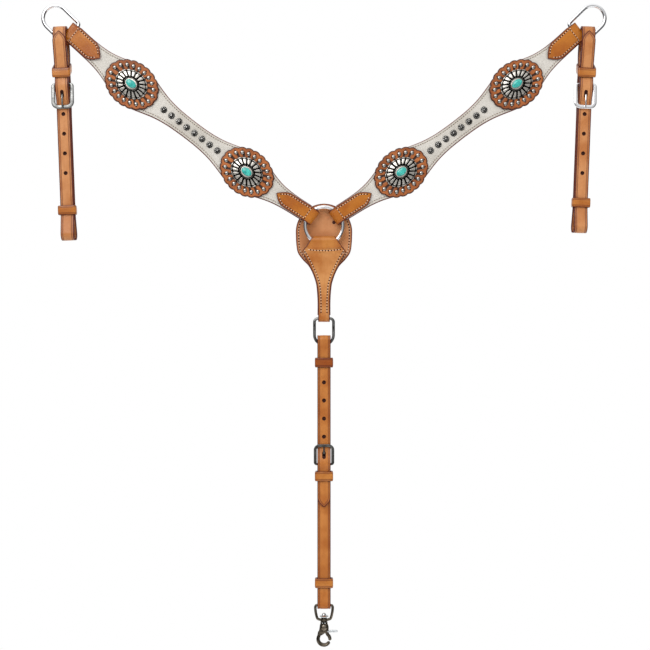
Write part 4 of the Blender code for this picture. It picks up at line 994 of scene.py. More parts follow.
def rosette(side, end):
    """The scalloped leather oval with its ball spots, the silver concho and the stone."""
    t = WING_MIDDLE + ROSETTE_SPACING / 2 * (1 if end == "outer" else -1)
    axes = wing_axes(side)
    here = np.array([put(axes, t, 0.0, wing_line(t)), axes[1], -Y, axes[3]])
    name = f"{side}_{end}"

    def seat(across, rise, up):
        """Points of the rosette, rise from the wing's middle."""
        return put(here, across, rise, up)

    piece = Piece(f"{name}_rosette_tooled")
    relief(piece, seat, oval(ROSETTE_LONG, ROSETTE_SHORT, scallop), tooled,
           ROSETTE_FACE - ROSETTE_THICKNESS, 50, 16 * SCALLOPS)
    angles = np.interp(np.arange(SCALLOPS) + 0.5, BALL_RUN, BALL_TURN)
    ones = np.ones((SCALLOPS, 1))
    turned = [ones * axis for axis in (here[1], here[3], here[2])]
    ball = button(BALL_RADIUS, BALL_RADIUS * 0.72, 0.0002, 7, 20)
    polish = np.zeros((*ball.shape[:2], 2))
    polish[..., 1] = np.clip(ball[..., 2] / (BALL_RADIUS * 0.35), 0, 1)
    where = put(here, BALL_LONG * np.cos(angles), ROSETTE_FACE, BALL_SHORT * np.sin(angles))
    piece.stamp(ball, where, *turned, 1, polish)
    # Beside each ball spot, a flat disc in the painted hole shade.
    where = put(here, (BALL_LONG + DOT_OUT) * np.cos(angles), ROSETTE_FACE,
                (BALL_SHORT + DOT_OUT) * np.sin(angles))
    piece.stamp(button(0.0009, 0.00006, 0.0001, 3, 10), where, *turned, 2)
    piece.done("wings", "tan_leather", [ROSETTE_LEATHER, SPOT_SILVER, HOLE_SHADE], f"{name}_rosette")
    piece = Piece(f"{name}_concho_engraved")
    relief(piece, seat, oval(CONCHO_LONG - 0.0004, CONCHO_SHORT - 0.0004, fluted), engraved, CONCHO_BASE,
           90, 14 * PETALS)
    piece.done("wings", "antique_silver", [CONCHO_SILVER], f"{name}_concho")
    piece = Piece(f"{name}_stone_cabochon")
    relief(piece, seat, oval(STONE_LONG, STONE_SHORT), cabochon, STONE_BASE, 14, 48)
    piece.done("wings", "turquoise", [STONE], f"{name}_stone")


def flowers(side):
    """The line of small flower spots between the two rosettes."""
    t = FLOWER_START + FLOWER_PITCH * np.arange(FLOWERS)
    axes = wing_axes(side)
    lift = GAP / 2 + LAYER_THICKNESS - 0.0001
    where = put(axes, t, -lift, wing_line(t))
    share = np.concatenate([np.linspace(0, 1, 7), [1, 0]])[:, None]
    angle = np.linspace(0, 2 * math.pi, 32, endpoint=False)
    lobe = abs(np.sin(4 * angle))
    radius = FLOWER_RADIUS * (0.90 + 0.10 * lobe**0.5)
    heart = np.exp(-((share / 0.30) ** 2))
    cleft = (1 - lobe) ** 1.5 * step(share, 0.25, 0.6)
    rise = FLOWER_HEIGHT * (0.32 + 0.50 * np.sqrt(1 - 0.9 * share**2) + 0.18 * heart) - 0.0006 * cleft
    rise[-2:] = -0.0002
    across = share * radius * np.cos(angle)
    shape = np.stack(np.broadcast_arrays(across, share * radius * np.sin(angle), rise), -1)
    polish = np.zeros((*shape.shape[:2], 2))
    petal = lobe**1.5 * step(share, 0.40, 0.55) * (1 - step(share, 0.80, 0.95))
    polish[..., 1] = np.clip(0.85 * petal + (1 - step(share, 0.16, 0.34)), 0, 1)
    polish[-2:, :, 1] = 0
    ones = np.ones((FLOWERS, 1))
    piece = Piece(f"{side}_flower_spots")
    piece.stamp(shape, where, ones * axes[1], ones * axes[3], ones * -Y, 0, polish)
    piece.done("wings", "antique_silver", [SPOT_SILVER])


def dee_ring(side):
    """The chrome dee that a wing's outer tab holds."""
    axes = wing_axes(side)
    bar = put(axes, DEE_BAR, 0.0, wing_line(DEE_BAR))
    along = math.cos(DEE_TILT) * axes[1] + math.sin(DEE_TILT) * axes[3]
    across = np.cross(along, Y)
    half = DEE_HALF - DEE_CORNER
    points = arc((DEE_LENGTH, 0), DEE_HALF, -90, 90, 41)
    points += arc((DEE_CORNER, half), DEE_CORNER, 90, 180, 9)
    points += arc((DEE_CORNER, -half), DEE_CORNER, 180, 270, 9)
    points = np.array(points)
    path = bar + points[:, :1] * along + points[:, 1:] * across
    piece = Piece(f"{side}_dee_ring_polished")
    tube(piece, path, DEE_WIRE, Y, columns=18)
    piece.done(f"{side}_dee", "bright_chrome", [CHROME], f"{side}_dee_ring")


# Shield

FRONT = np.array([(0, 0, 0), X, Y, Z])


def front_place(across, deep, up):
    """Points in the plain frame, where along is the height."""
    return put(FRONT, across, deep, up)


def centre_ring():
    """The chrome ring that joins the wings and the shield."""
    a = np.linspace(0, 2 * math.pi, 96, endpoint=False)
    path = np.stack([RING_RADIUS * np.cos(a), 0 * a, RING_RADIUS * np.sin(a)], -1)
    piece = Piece("centre_ring_polished")
    tube(piece, path, RING_WIRE, Y, columns=20)
    piece.done("ring", "bright_chrome", [CHROME], "centre_ring")


def plate_side():
    """The shield plate's right edge as (half-width, height), from its top to its neck."""
    a = np.linspace(0, math.pi / 2, 22)
    top = np.stack([PLATE_TOP_RADIUS * np.sin(a), PLATE_TOP_CENTRE + PLATE_TOP_RADIUS * np.cos(a)], -1)
    sides = smooth([(PLATE_TOP_RADIUS, PLATE_TOP_CENTRE), (0.0335, -0.0200), (0.0316, -0.0315),
                    (0.0255, -0.0405), (0.0189, -0.0475), (0.0143, -0.0556), (0.0108, -0.0650),
                    (0.0090, -0.0730), (NECK_HALF, -0.0890), (NECK_HALF, NECK_BOTTOM)], 8)
    return np.vstack([top, sides[1:]])


PLATE_SIDE = plate_side()


def plate_depth(z):
    """Where the middle of the plate lies: behind the ring at the top, in line with the dee below."""
    return PLATE_BACK * (1 - step(-z, 0.022, 0.062))


def overlay_depth(z):
    """Where the middle of the overlay lies: in front of the loop at the top, against the plate below."""
    raised = LOOP_FOLD + TAB_THICKNESS + GAP + OVERLAY_THICKNESS / 2
    base = PLATE_THICKNESS / 2 + GAP + OVERLAY_THICKNESS / 2
    return -raised + (raised - base) * step(OVERLAY_TOP - z, 0, 0.032)


def overlay_half(z):
    """Half-width of the overlay: wide corners under the ring, then the plate's neck less an inset."""
    side = PLATE_SIDE[::-1]
    neck = np.interp(z, side[:, 1], side[:, 0]) - OVERLAY_INSET
    corner = np.interp(z, [-0.0600, -0.0530, -0.0428, -0.0312, OVERLAY_TOP],
                       [0.0500, 0.0148, 0.0198, 0.0266, OVERLAY_CORNER])
    return np.minimum(neck, corner)


def shield_plate():
    """The natural leather back plate, with a stitched margin and one awl hole painted as a dark disc of
    shade.
    """
    z = PLATE_SIDE[:, 1]
    path = np.stack([plate_depth(z), z], -1)
    strip = Strip(front_place, path, None, PLATE_THICKNESS, -1)
    strip.half = lambda s: np.interp(s, strip.s, PLATE_SIDE[:, 0])
    piece = Piece("shield_plate_sewn")
    columns = section(PLATE_THICKNESS, 0.0008, SHIELD_STITCH, 0.00015, inner=(0.8, 0.6, 0.4, 0.2))
    strip.mesh(piece, columns, most=0.002)
    seams = []
    for face in (1, -1):
        seams += strip.seam(0.0042, strip.length - 0.004, SHIELD_STITCH, STITCH_PITCH, face=face)
    sew(piece, seams)
    # The awl hole is not cut: a flat dark disc in the painted hole shade stands for it.
    awl = np.array([[AWL_HOLE[0], PLATE_BACK - PLATE_THICKNESS / 2, AWL_HOLE[1]]])
    piece.stamp(button(0.0022, 0.00012, 0.0001, 4, 14), awl, X[None], Z[None], -Y[None], 2)
    piece.done("shield", "natural_leather", [PLATE_LEATHER, *SEWN], "shield_plate")


def shield_overlay():
    """The front overlay: over the loop, down the neck, round the dee's bar and up the back."""
    bottom = NECK_BOTTOM + 0.0030
    heights = np.linspace(OVERLAY_TOP, bottom, 60)
    front = [(overlay_depth(z), z) for z in heights]
    fold = LOWER_DEE_WIRE + GAP + OVERLAY_THICKNESS / 2
    turn = [(-fold * math.cos(a), LOWER_DEE_BAR - fold * math.sin(a))
            for a in np.linspace(0, math.pi, 15)]
    behind = -overlay_depth(NECK_BOTTOM)
    path = [*front, *turn, (behind, bottom), (behind, OVERLAY_BACK_TOP)]
    strip = Strip(front_place, path, None, OVERLAY_THICKNESS, -1)
    neck = NECK_HALF - OVERLAY_INSET
    halves = [*overlay_half(heights), *[neck] * (len(path) - len(heights))]
    strip.half = lambda s: np.interp(s, strip.s, halves)
    piece = Piece("shield_overlay_sewn")

    def drape(across, along, rim, w):
        """The top edge dips between its corners."""
        fade = 1 - step(along, 0, 0.012)
        return OVERLAY_DIP * fade * np.clip(1 - (across / OVERLAY_CORNER) ** 2, 0, 1), 0 * along

    columns = section(OVERLAY_THICKNESS, 0.0006, SHIELD_STITCH, 0.00014, inner=(0.75, 0.5, 0.25))
    strip.mesh(piece, columns, most=0.0025, form=drape)
    seams = strip.seam(0.0040, strip.s[len(heights) - 1], SHIELD_STITCH, STITCH_PITCH)
    across = np.linspace(-0.0195, 0.0195, 90)
    along = SHIELD_STITCH * 0.75 + OVERLAY_DIP * (1 - (across / OVERLAY_CORNER) ** 2)
    seams.append(strip.stitch_line(across, along, STITCH_PITCH))
    seams += strip.seam(strip.length - 0.001, strip.length - 0.018, SHIELD_STITCH, STITCH_PITCH)
    sew(piece, seams)
    piece.done("shield", "tan_leather", [OVERLAY_LEATHER, *SEWN], "shield_overlay")


def ring_loop():
    """The strip folded round the bottom of the centre ring, its ends between plate and overlay."""
    bend = LOOP_FOLD + TAB_THICKNESS / 2
    centre = LOOP_TOP - TAB_THICKNESS / 2 - bend
    apart = (PLATE_THICKNESS + TAB_THICKNESS) / 2 + 2 * GAP
    near = (OVERLAY_THICKNESS + TAB_THICKNESS) / 2 + 2 * GAP
    heights = np.linspace(LOOP_BOTTOM, centre - 0.0020, 16)
    path = [(max(-bend, overlay_depth(z) + near), z) for z in heights]
    path += [(-bend * math.cos(a), centre + bend * math.sin(a)) for a in np.linspace(0, math.pi, 21)]
    path += [(min(bend, plate_depth(z) - apart), z) for z in heights[::-1]]
    strip = Strip(front_place, path, None, TAB_THICKNESS, 1)
    halves = np.interp([z for _, z in path], [LOOP_BOTTOM, OVERLAY_TOP, LOOP_WAIST, LOOP_TOP],
                       [LOOP_HALF_BOTTOM, LOOP_HALF_OVERLAY, LOOP_HALF_WAIST, LOOP_HALF_TOP])
    strip.half = lambda s: np.interp(s, strip.s, halves)
    piece = Piece("shield_ring_loop_folded")
    strip.mesh(piece, section(TAB_THICKNESS, 0.0005), most=0.002)
    piece.done("shield", "tan_leather", [LOOP_LEATHER], "shield_ring_loop")


def lower_dee():
    """The small antiqued dee between the shield and the tie-down."""
    straight = LOWER_DEE_HALF - LOWER_DEE_CORNER
    points = arc((0, -LOWER_DEE_STRAIGHT), LOWER_DEE_HALF, 180, 360, 31)
    points += arc((straight, -LOWER_DEE_CORNER), LOWER_DEE_CORNER, 0, 90, 9)
    points += arc((-straight, -LOWER_DEE_CORNER), LOWER_DEE_CORNER, 90, 180, 9)
    path = np.array([(x, 0, LOWER_DEE_BAR + z) for x, z in points])
    piece = Piece("lower_dee_cast")
    tube(piece, path, LOWER_DEE_WIRE, Y, columns=16)
    piece.done("lower_dee", "antique_silver", [OLD_STEEL], "lower_dee")


# Buckles, keepers and straps

def far_bar(sizes, billet):
    """Places along a buckle, from its heel bar: the far bar's top edge and middle, its depth and tilt."""
    width, length, band, corner = sizes
    middle = length - HEEL_BAR / 2 - band / 2
    depth = billet - STRAP_THICKNESS / 2 - GAP - FRAME_THICKNESS / 2
    tilt = math.atan2(-depth, middle)
    depth -= band / 2 * math.tan(tilt) + GAP / 3
    return {"width": width, "length": length, "band": band, "corner": corner, "billet": billet,
            "middle": middle, "top": middle - band / 2 - BEND_ROOM, "depth": depth,
            "tilt": math.atan2(-depth, middle)}


def billet_depth(d, far):
    """Depth of the billet, d along the frame from the heel bar: it slopes back behind the far bar."""
    share = np.clip((d - RAMP_START) / (far["top"] - RAMP_START), 0, 1)
    return BILLET_AT_HEEL + (far["billet"] - BILLET_AT_HEEL) * share


def buckle(prefix, axes, far, hole, slot, finish, bodies, turn=0):
    """A heel-bar buckle: a band with soft edges, and a tapered tongue with an eye round the bar.

    In its own frame the far bar lies below the heel bar; turn swings it half round.
    """
    flip = -1 if turn else 1
    at = np.array([axes[0], flip * axes[1], axes[2], flip * axes[3]])
    tilt = far["tilt"]
    face = math.cos(tilt) * at[3] + math.sin(tilt) * at[2]
    out = math.cos(tilt) * at[2] - math.sin(tilt) * at[3]
    flat = np.array([at[0], at[1], face, out])
    outer = rounded_box(far["width"], far["length"], far["band"] * 0.95, far["corner"])
    outer += (0, HEEL_BAR / 2 - far["length"] / 2)
    opening = far["length"] - HEEL_BAR - far["band"]
    inner = rounded_box(far["width"] - 2 * far["band"], opening, far["band"] * 0.3,
                        far["corner"] - far["band"])
    inner += (0, -HEEL_BAR / 2 - opening / 2)
    piece = Piece(f"{prefix}_frame_polished")
    hoop(piece, flat, outer, inner, -FRAME_THICKNESS / 2, FRAME_THICKNESS / 2, softness=2.7)
    piece.done(bodies[0], slot, [finish], f"{prefix}_frame")
    eye = arc((0, 0), TONGUE_EYE, -70, 180, 25)
    middle = billet_depth(hole, far)
    rest = far["depth"] - FRAME_THICKNESS / 2 - TONGUE_WIRE - 2 * GAP
    route = [eye[-1], (middle + 0.0021, -hole + 0.0034), (middle - 0.0021, -hole - 0.0034),
             (rest, -far["middle"] - 0.0006)]
    line = np.array([*eye[:-1], *smooth(route, 8)])
    last = len(line) - 1
    taper = TONGUE_WIRE * np.interp(np.arange(len(line)), [0, last - 7, last], [1, 1, 0.75])
    piece = Piece(f"{prefix}_tongue_tapered")
    tube(piece, put(at, 0 * line[:, 0], line[:, 0], line[:, 1]), taper, at[1], closed=False)
    piece.done(bodies[1], slot, [finish], f"{prefix}_tongue")


def keeper(name, axes, height, front, back, middle, body, tilt=0.0, finish=KEEPER_LEATHER):
    """A glossy leather band round a strap's layers, which lie between the depths front and back."""
    width = 2 * (STRAP_HALF + KEEPER_SIDE_GAP)
    depth = back - front + 2 * GAP
    centre = (0, (front + back) / 2)
    outer = rounded_box(width + 2 * KEEPER_THICKNESS, depth + 2 * KEEPER_THICKNESS, 0.0022) + centre
    inner = rounded_box(width, depth, 0.0005) + centre
    home = middle - tilt * (front - KEEPER_THICKNESS / 2)
    at = np.array([axes[0] + home * axes[3], axes[1], axes[2] + tilt * axes[3], axes[3]])
    piece = Piece(f"{name}_burnished")
    hoop(piece, at, outer, inner, -height / 2, height / 2, softness=4.5, crown=0.10, columns=28)
    piece.done(body, "tan_leather", [finish], name)


def hole(axes, middle, up, radius=HOLE_RADIUS, stretch=1.0, tilt=0.0):
    """A punch along the depth into one layer: round, opening out a little at the leather's face.

    It stops just short of the back; its walls and floor keep the painted hole shade, which stands for the
    dark inside the hole.
    """
    flat, lip = STRAP_THICKNESS / 2, 0.00030
    deep = np.array([-HOLE_REACH, -flat - 0.0002, -flat + 0.0003, flat - 0.0004])
    wide = np.array([lip * 2, lip * 1.4, 0, 0]) + radius
    a = np.linspace(0, 2 * math.pi, 24, endpoint=False)
    across = wide[:, None] * np.cos(a)
    along = wide[:, None] * np.sin(a) + (stretch - 1) * radius * np.sign(np.sin(a))
    return put(axes, across, middle + deep[:, None] + tilt * along, up + along)


def strap(name, axes, path, outer, body, finish, holes, tip=True, skew=0.0):
    """A strap along a path of (depth, height), pointed at its end, with its holes.

    skew moves what lies behind the front layer sideways, so that it shows beside it.
    """
    def place(across, deep, up):
        """Points in the strap's frame, with the skew."""
        return put(axes, across + skew * step(deep, 0.0, 0.0022) * step(-up, 0.0, 0.03), deep, up)

    strip = Strip(place, path, None, STRAP_THICKNESS, outer)
    if tip:
        strip.half = lambda s: gothic(STRAP_HALF, BILLET_POINT, strip.length - s)
    else:
        strip.half = lambda s: STRAP_HALF + 0 * s
    piece = Piece(f"{name}_creased")
    ends = ((strip.length, BILLET_POINT),) if tip else ()
    columns = section(STRAP_THICKNESS, 0.0006, STRAP_CREASE, crown=0.00012, inner=(0.6,))
    strip.mesh(piece, columns, points=ends, most=0.004)
    piece.done(body, "tan_leather", [finish, HOLE_SHADE], name, holes=holes)


def slot_cutter(axes):
    """The slot in a strap's fold that leaves room for the tongue's eye, with round ends."""
    half = TONGUE_WIRE + 2 * GAP
    reach = RAMP_START - GAP / 2
    a = np.linspace(0, 2 * math.pi, 24, endpoint=False)
    deep = np.array([-reach, reach])[:, None]
    along = np.sign(np.sin(a)) * (reach - half) + half * np.sin(a)
    return put(axes, half * np.cos(a), deep, along)


def tug_path(drop, far):
    """The uptug strap's path as (depth, distance down), from its sewn tail to its tip."""
    tail, start = TUG_HEEL_DEPTH + LAYER / 2, TUG_HEEL_DEPTH - LAYER / 2
    billet, back = start - LAYER, tail + LAYER
    half = TUG_KEEPER_HEIGHT / 2 + KEEPER_MARGIN
    upper, lower = TUG_KEEPER_UPPER - half, TUG_KEEPER_UPPER + half
    top = TUG_LOOP + STRAP_THICKNESS / 2
    bottom = TUG_BOTTOM_LOOP + STRAP_THICKNESS / 2
    low_centre = drop - STRAP_THICKNESS / 2 - bottom
    below_keeper = drop - TUG_KEEPER_LOWER + half
    behind_heel = TUG_HEEL_DEPTH - BILLET_AT_HEEL
    front, rear = -LAYER / 2, LAYER / 2
    shoulder = 2 * TUG_LOOP + STRAP_THICKNESS
    path = [(tail, upper - TAIL_REST), (tail, lower)]
    path += arc((TUG_HEEL_DEPTH, TUG_HEEL), HEEL_BEND, 0, 180, 13)
    path += [(start, lower), (start, upper), (-top, shoulder)]
    path += arc((0, top + STRAP_THICKNESS / 2), top, 180, 360, 25)
    path += [(top, shoulder), (back, upper), (back, lower - KEEPER_MARGIN / 2)]
    path += [(behind_heel, TUG_HEEL - HEEL_BAR / 2), (behind_heel, TUG_HEEL + HEEL_BEND)]
    path += [(rear, TUG_HEEL + far["middle"] + TUG_REAR_MERGE), (rear, below_keeper)]
    path += arc((0, low_centre), bottom, 0, 180, 21)
    path += [(front, below_keeper), (front, TUG_HEEL + far["top"])]
    path += [(TUG_HEEL_DEPTH + BILLET_AT_HEEL, TUG_HEEL + RAMP_START)]
    path += [(TUG_HEEL_DEPTH + BILLET_AT_HEEL, TUG_HEEL), (billet, lower), (billet, upper)]
    path += [(-top - LAYER, shoulder), (-top - LAYER, top + STRAP_THICKNESS / 2), (-top - LAYER, TUG_TIP)]
    return path


def uptug(side):
    """One uptug: the strap, its buckle and its two keepers."""
    sign, drop = SIDES[side], TUG_DROPS[side]
    lean = sign * TUG_LEAN
    up = np.array([math.sin(lean), 0, math.cos(lean)])
    axes = np.array([(sign * TUG_X, 0, TUG_PIVOT), (math.cos(lean), 0, -math.sin(lean)), Y, up])
    top = TUG_TOP - TUG_PIVOT
    far = far_bar(TUG_BUCKLE, -LAYER / 2 - TUG_HEEL_DEPTH)
    path = [(y, top - d) for y, d in rounded(tug_path(drop, far))]
    used = TUG_FIRST_HOLE - TUG_HOLE_PITCH
    middle = TUG_HEEL_DEPTH + billet_depth(used - TUG_HEEL, far)
    slope = (far["billet"] - BILLET_AT_HEEL) / (far["top"] - RAMP_START)
    holes = [hole(axes, middle, top - used, SPLIT_HOLE_RADIUS, SPLIT_HOLE_STRETCH, -slope)]
    holes += [hole(axes, -LAYER / 2, top - TUG_FIRST_HOLE - i * TUG_HOLE_PITCH)
              for i in range(TUG_HOLES)]
    heel = np.array([put(axes, 0.0, TUG_HEEL_DEPTH, top - TUG_HEEL), *axes[1:]])
    body = f"{side}_tug"
    strap(f"{body}_strap", axes, path, 1, body, TUG_LEATHER, [*holes, slot_cutter(heel)],
          skew=-sign * TUG_SKEW)
    slot, finish = TUG_BUCKLE_LOOKS[side]
    buckle(f"{body}_buckle", heel, far, used - TUG_HEEL, slot, finish, (body, f"{body}_tongue"))
    keeper(f"{body}_upper_keeper", axes, TUG_KEEPER_HEIGHT, TUG_HEEL_DEPTH - FOUR_LAYERS,
           TUG_HEEL_DEPTH + FOUR_LAYERS, top - TUG_KEEPER_UPPER, body, KEEPER_TILT)
    keeper(f"{body}_lower_keeper", axes, TUG_KEEPER_HEIGHT, -TWO_LAYERS, TWO_LAYERS,
           top - drop + TUG_KEEPER_LOWER, f"{body}_keeper")


def upper_path(far):
    """The tie-down's upper strap as (depth, height): its tail, the loop on the dee, the billet."""
    reach = TIE_KEEPER_HEIGHT / 2 + KEEPER_MARGIN
    loop = TIE_LOOP + STRAP_THICKNESS / 2
    front, rear = -LAYER / 2, LAYER / 2
    above, below = TIE_KEEPER_1 + reach, TIE_KEEPER_1 - reach
    path = [(rear, below - KEEPER_MARGIN), (rear, above)]
    path += arc((0, TIE_TOP - STRAP_THICKNESS / 2 - loop), loop, 0, 180, 17)
    path += [(front, above), (front, below - TAIL_REST)]
    path += [(rear, TIE_FIRST_HOLE - TIE_HOLE_PITCH), (rear, TIE_HEEL + far["top"])]
    path += [(TIE_HEEL_DEPTH + BILLET_AT_HEEL, TIE_HEEL + RAMP_START)]
    path += [(TIE_HEEL_DEPTH + BILLET_AT_HEEL, TIE_HEEL)]
    billet = TIE_HEEL_DEPTH - 1.5 * LAYER
    return path + [(billet, TIE_KEEPER_2 + reach), (billet, TIE_TIP)]


def lower_path():
    """The lower strap as (depth, height): its tail, the heel fold, the run down, the snap's loop."""
    reach = TIE_KEEPER_HEIGHT / 2 + KEEPER_MARGIN
    tail, main = TIE_HEEL_DEPTH + LAYER / 2, TIE_HEEL_DEPTH - LAYER / 2
    front, rear = -LAYER / 2, LAYER / 2
    bend = EYE_WIRE + GAP + STRAP_THICKNESS / 2
    path = [(tail, TIE_KEEPER_2 - reach - TAIL_REST), (tail, TIE_KEEPER_2 + reach)]
    path += arc((TIE_HEEL_DEPTH, TIE_HEEL), HEEL_BEND, 0, 180, 13)
    path += [(main, TIE_KEEPER_2 + reach), (main, TIE_TIP), (front, TIE_KEEPER_3 + 3 * reach)]
    path += [(front, TIE_KEEPER_3 - reach)]
    path += arc((0, TIE_BOTTOM + STRAP_THICKNESS / 2 + bend), bend, 180, 360, 13)
    return path + [(rear, TIE_KEEPER_3 - reach), (rear, TIE_KEEPER_3 + 2 * reach)]


def tie_down():
    """The tie-down: the upper strap, the buckle, the lower strap and three keepers."""
    far = far_bar(TIE_BUCKLE, LAYER / 2 - TIE_HEEL_DEPTH)
    used = TIE_FIRST_HOLE - TIE_HOLES * TIE_HOLE_PITCH
    middle = TIE_HEEL_DEPTH + billet_depth(used - TIE_HEEL, far)
    slope = (far["billet"] - BILLET_AT_HEEL) / (far["top"] - RAMP_START)
    holes = [hole(FRONT, middle, used, SPLIT_HOLE_RADIUS, SPLIT_HOLE_STRETCH, slope)]
    path = rounded(upper_path(far))
    drop = path[np.argsort(path[:, 1])]
    for i in range(TIE_HOLES):
        height = TIE_FIRST_HOLE - i * TIE_HOLE_PITCH
        holes.append(hole(FRONT, float(np.interp(height, drop[:, 1], drop[:, 0])), height))
    strap("tie_down_upper_strap", FRONT, path, -1, "tie_down", STRAP_LEATHER, holes)
    heel = np.array([(0, TIE_HEEL_DEPTH, TIE_HEEL), X, Y, Z])
    strap("tie_down_lower_strap", FRONT, rounded(lower_path()), -1, "tie_down", STRAP_LEATHER,
          [slot_cutter(heel)], tip=False)
    buckle("tie_down_buckle", heel, far, used - TIE_HEEL, "gunmetal", DARK_STEEL,
           ("tie_down", "tie_down_tongue"), 1)
    keeper("tie_down_keeper_1", FRONT, TIE_KEEPER_HEIGHT, -TWO_LAYERS, TWO_LAYERS, TIE_KEEPER_1,
           "tie_down", finish=DARK_KEEPER_LEATHER)
    keeper("tie_down_keeper_2", FRONT, TIE_KEEPER_HEIGHT, TIE_HEEL_DEPTH - FOUR_LAYERS,
           TIE_HEEL_DEPTH + TWO_LAYERS, TIE_KEEPER_2, "tie_down")
    keeper("tie_down_keeper_3", FRONT, TIE_KEEPER_HEIGHT, -TWO_LAYERS, TWO_LAYERS, TIE_KEEPER_3,
           "tie_down_keeper")


def spun(piece, profile, centre, look=0):
    """A profile of (radius, height) turned about a vertical axis."""
    r, z = np.array(profile).T[:, :, None]
    a = np.linspace(0, 2 * math.pi, 32, endpoint=False)
    piece.grid(put(FRONT, r * np.cos(a), r * np.sin(a), z + 0 * a) + np.array(centre), look=look)


def slab(piece, outline, low, high, edge=CHEEK_EDGE):
    """A plate of the plain frame between two depths, its outline's edges rounded over."""
    outline = np.array(outline)
    forward = unit(np.roll(outline, -1, 0) - np.roll(outline, 1, 0))
    out = np.stack([forward[:, 1], -forward[:, 0]], -1)
    turn = np.linspace(0, math.pi / 2, 5)
    inset = edge * np.concatenate([1 - np.sin(turn), 1 - np.sin(turn[::-1])])
    depth = np.concatenate([low + edge * (1 - np.cos(turn)), high - edge * (1 - np.cos(turn[::-1]))])
    wide = outline[None] - inset[:, None, None] * out[None]
    piece.grid(put(FRONT, wide[..., 0], depth[:, None], wide[..., 1]), caps=True)


def swivel_eye():
    """The loop on the strap's end, narrower at its foot, with the swivel's barrel."""
    low = EYE_BAR - EYE_DROP
    half = [(0.0, EYE_BAR), (EYE_HALF - 0.0022, EYE_BAR), (EYE_HALF - 0.0004, EYE_BAR - 0.0012),
            (EYE_HALF, EYE_BAR - 0.0036), (EYE_HALF - 0.0006, EYE_BAR - 0.0090),
            (EYE_HALF - 0.0019, low + 0.0024), (EYE_HALF - 0.0032, low + 0.0004), (0.0030, low - 0.0008),
            (0.0, low - 0.0010)]
    right = smooth(half, 6)
    line = np.vstack([right, (right * (-1, 1))[-2:0:-1]])
    piece = Piece("swivel_eye_cast")
    tube(piece, put(FRONT, line[:, 0], 0.0, line[:, 1]), EYE_WIRE, Y, columns=16)
    barrel = [(0, 1), (0.7, 1), (0.93, 0.86), (1, 0.55), (1, -0.55), (0.93, -0.86), (0.7, -1), (0, -1)]
    spun(piece, [(r * BOSS_RADIUS, z * BOSS_HEIGHT / 2) for r, z in barrel], (0, 0, low))
    piece.done("eye", "gunmetal", [GUNMETAL], "swivel_eye")


def snap_body():
    """The swivel head, the neck with its two cheeks and the rounded hook."""
    low = EYE_BAR - EYE_DROP
    neck = low - BOSS_HEIGHT / 2 - GAP
    head = low + BOSS_HEIGHT / 2 + GAP
    piece = Piece("snap_body_cast")
    left = [(-0.0040, neck), (-0.0041, neck - 0.0030), (-0.0050, SNAP_PIVOT + 0.0020),
            (-0.0056, SNAP_PIVOT - 0.0030), (-0.0076, HOOK_CENTRE + 0.0050)]
    right = [(-0.0036, HOOK_CENTRE + 0.0046), (-0.0004, HOOK_CENTRE + 0.0066),
             (0.0024, SNAP_PIVOT - 0.0056), (0.0054, SNAP_PIVOT - 0.0036), (0.0057, SNAP_PIVOT + 0.0004),
             (0.0048, SNAP_PIVOT + 0.0024), (0.0041, neck - 0.0030), (0.0040, neck)]
    cheek = rounded([*left, *right, left[0]], 0.0012)[:-1]
    slab(piece, cheek, -SNAP_HALF_DEPTH, -SNAP_SLOT)
    slab(piece, cheek, SNAP_SLOT, SNAP_HALF_DEPTH)
    shoulder = [(-0.0040, neck), (-0.0045, SNAP_PIVOT + 0.0042), (0.0045, SNAP_PIVOT + 0.0042),
                (0.0040, neck), (-0.0040, neck)]
    slab(piece, rounded(shoulder, 0.0012)[:-1], -SNAP_HALF_DEPTH, SNAP_HALF_DEPTH)
    tip = gate_angle(HOOK_TIP) - math.degrees(HOOK_THICK / HOOK_MIDDLE)
    line = [(-0.0053, SNAP_PIVOT - 0.0062), *arc((0, HOOK_CENTRE), HOOK_MIDDLE, 150, 360 + tip, 44)]
    line = smooth(line, 3)
    wide = HOOK_THICK * (1 + 0.12 * np.sin(np.linspace(0, math.pi, len(line))))
    tube(piece, put(FRONT, line[:, 0], 0.0, line[:, 1]), wide, Y, closed=False, columns=18,
         squash=SNAP_HALF_DEPTH / HOOK_THICK * 0.94)
    crown = [(0, 0.0054), (0.0012, 0.0051), (0.0022, 0.0041), (0.0026, 0.0028), (0.0048, 0.0020),
             (0.0055, 0.0014), (0.0051, 0.0007), (0.0034, 0.0004), (0.0033, 0.0), (POST_RADIUS, 0.0),
             (POST_RADIUS, neck - head - 0.0010), (0, neck - head - 0.0010)]
    spun(piece, crown, (0, 0, head), 1)
    # Two small bright steel domes on the front of the neck.
    neck_domes = put(FRONT, np.array([-0.0017, 0.0013]), -SNAP_HALF_DEPTH, neck - 0.0017)
    ones = np.ones((2, 1))
    piece.stamp(button(0.0008, 0.0006, 0.0002, 5, 14), neck_domes, ones * X, ones * Z, ones * -Y, 1)
    piece.done("snap", "gunmetal", [GUNMETAL, BRIGHT_STEEL], "snap_body")
    rivet = Piece("snap_rivet_domed")
    places = put(FRONT, 0.0, np.array([-1, 1]) * (SNAP_HALF_DEPTH + GAP), SNAP_PIVOT)
    rivet.stamp(button(RIVET_HEAD_RADIUS, RIVET_HEAD_HEIGHT, 0.0, 8, 32), places, np.array([X, -X]),
                ones * Z, np.array([-Y, Y]))
    rivet.done("snap", "gunmetal", [RUBBED_RIVET], "snap_rivet")
    spring = Piece("trigger_spring_coiled")
    deep = (TRIGGER_BACK + SNAP_SLOT) / 2
    coil = [(0.0034, 0.0034), *arc((0, 0), SPRING_RADIUS, 60, 330, 24), (0.0042, -0.0024)]
    x, z = np.array(coil).T
    tube(spring, put(FRONT, x, deep, SNAP_PIVOT + z), SPRING_WIRE, Y, closed=False, columns=8)
    spring.done("snap", "gunmetal", [BRIGHT_STEEL], "trigger_spring")


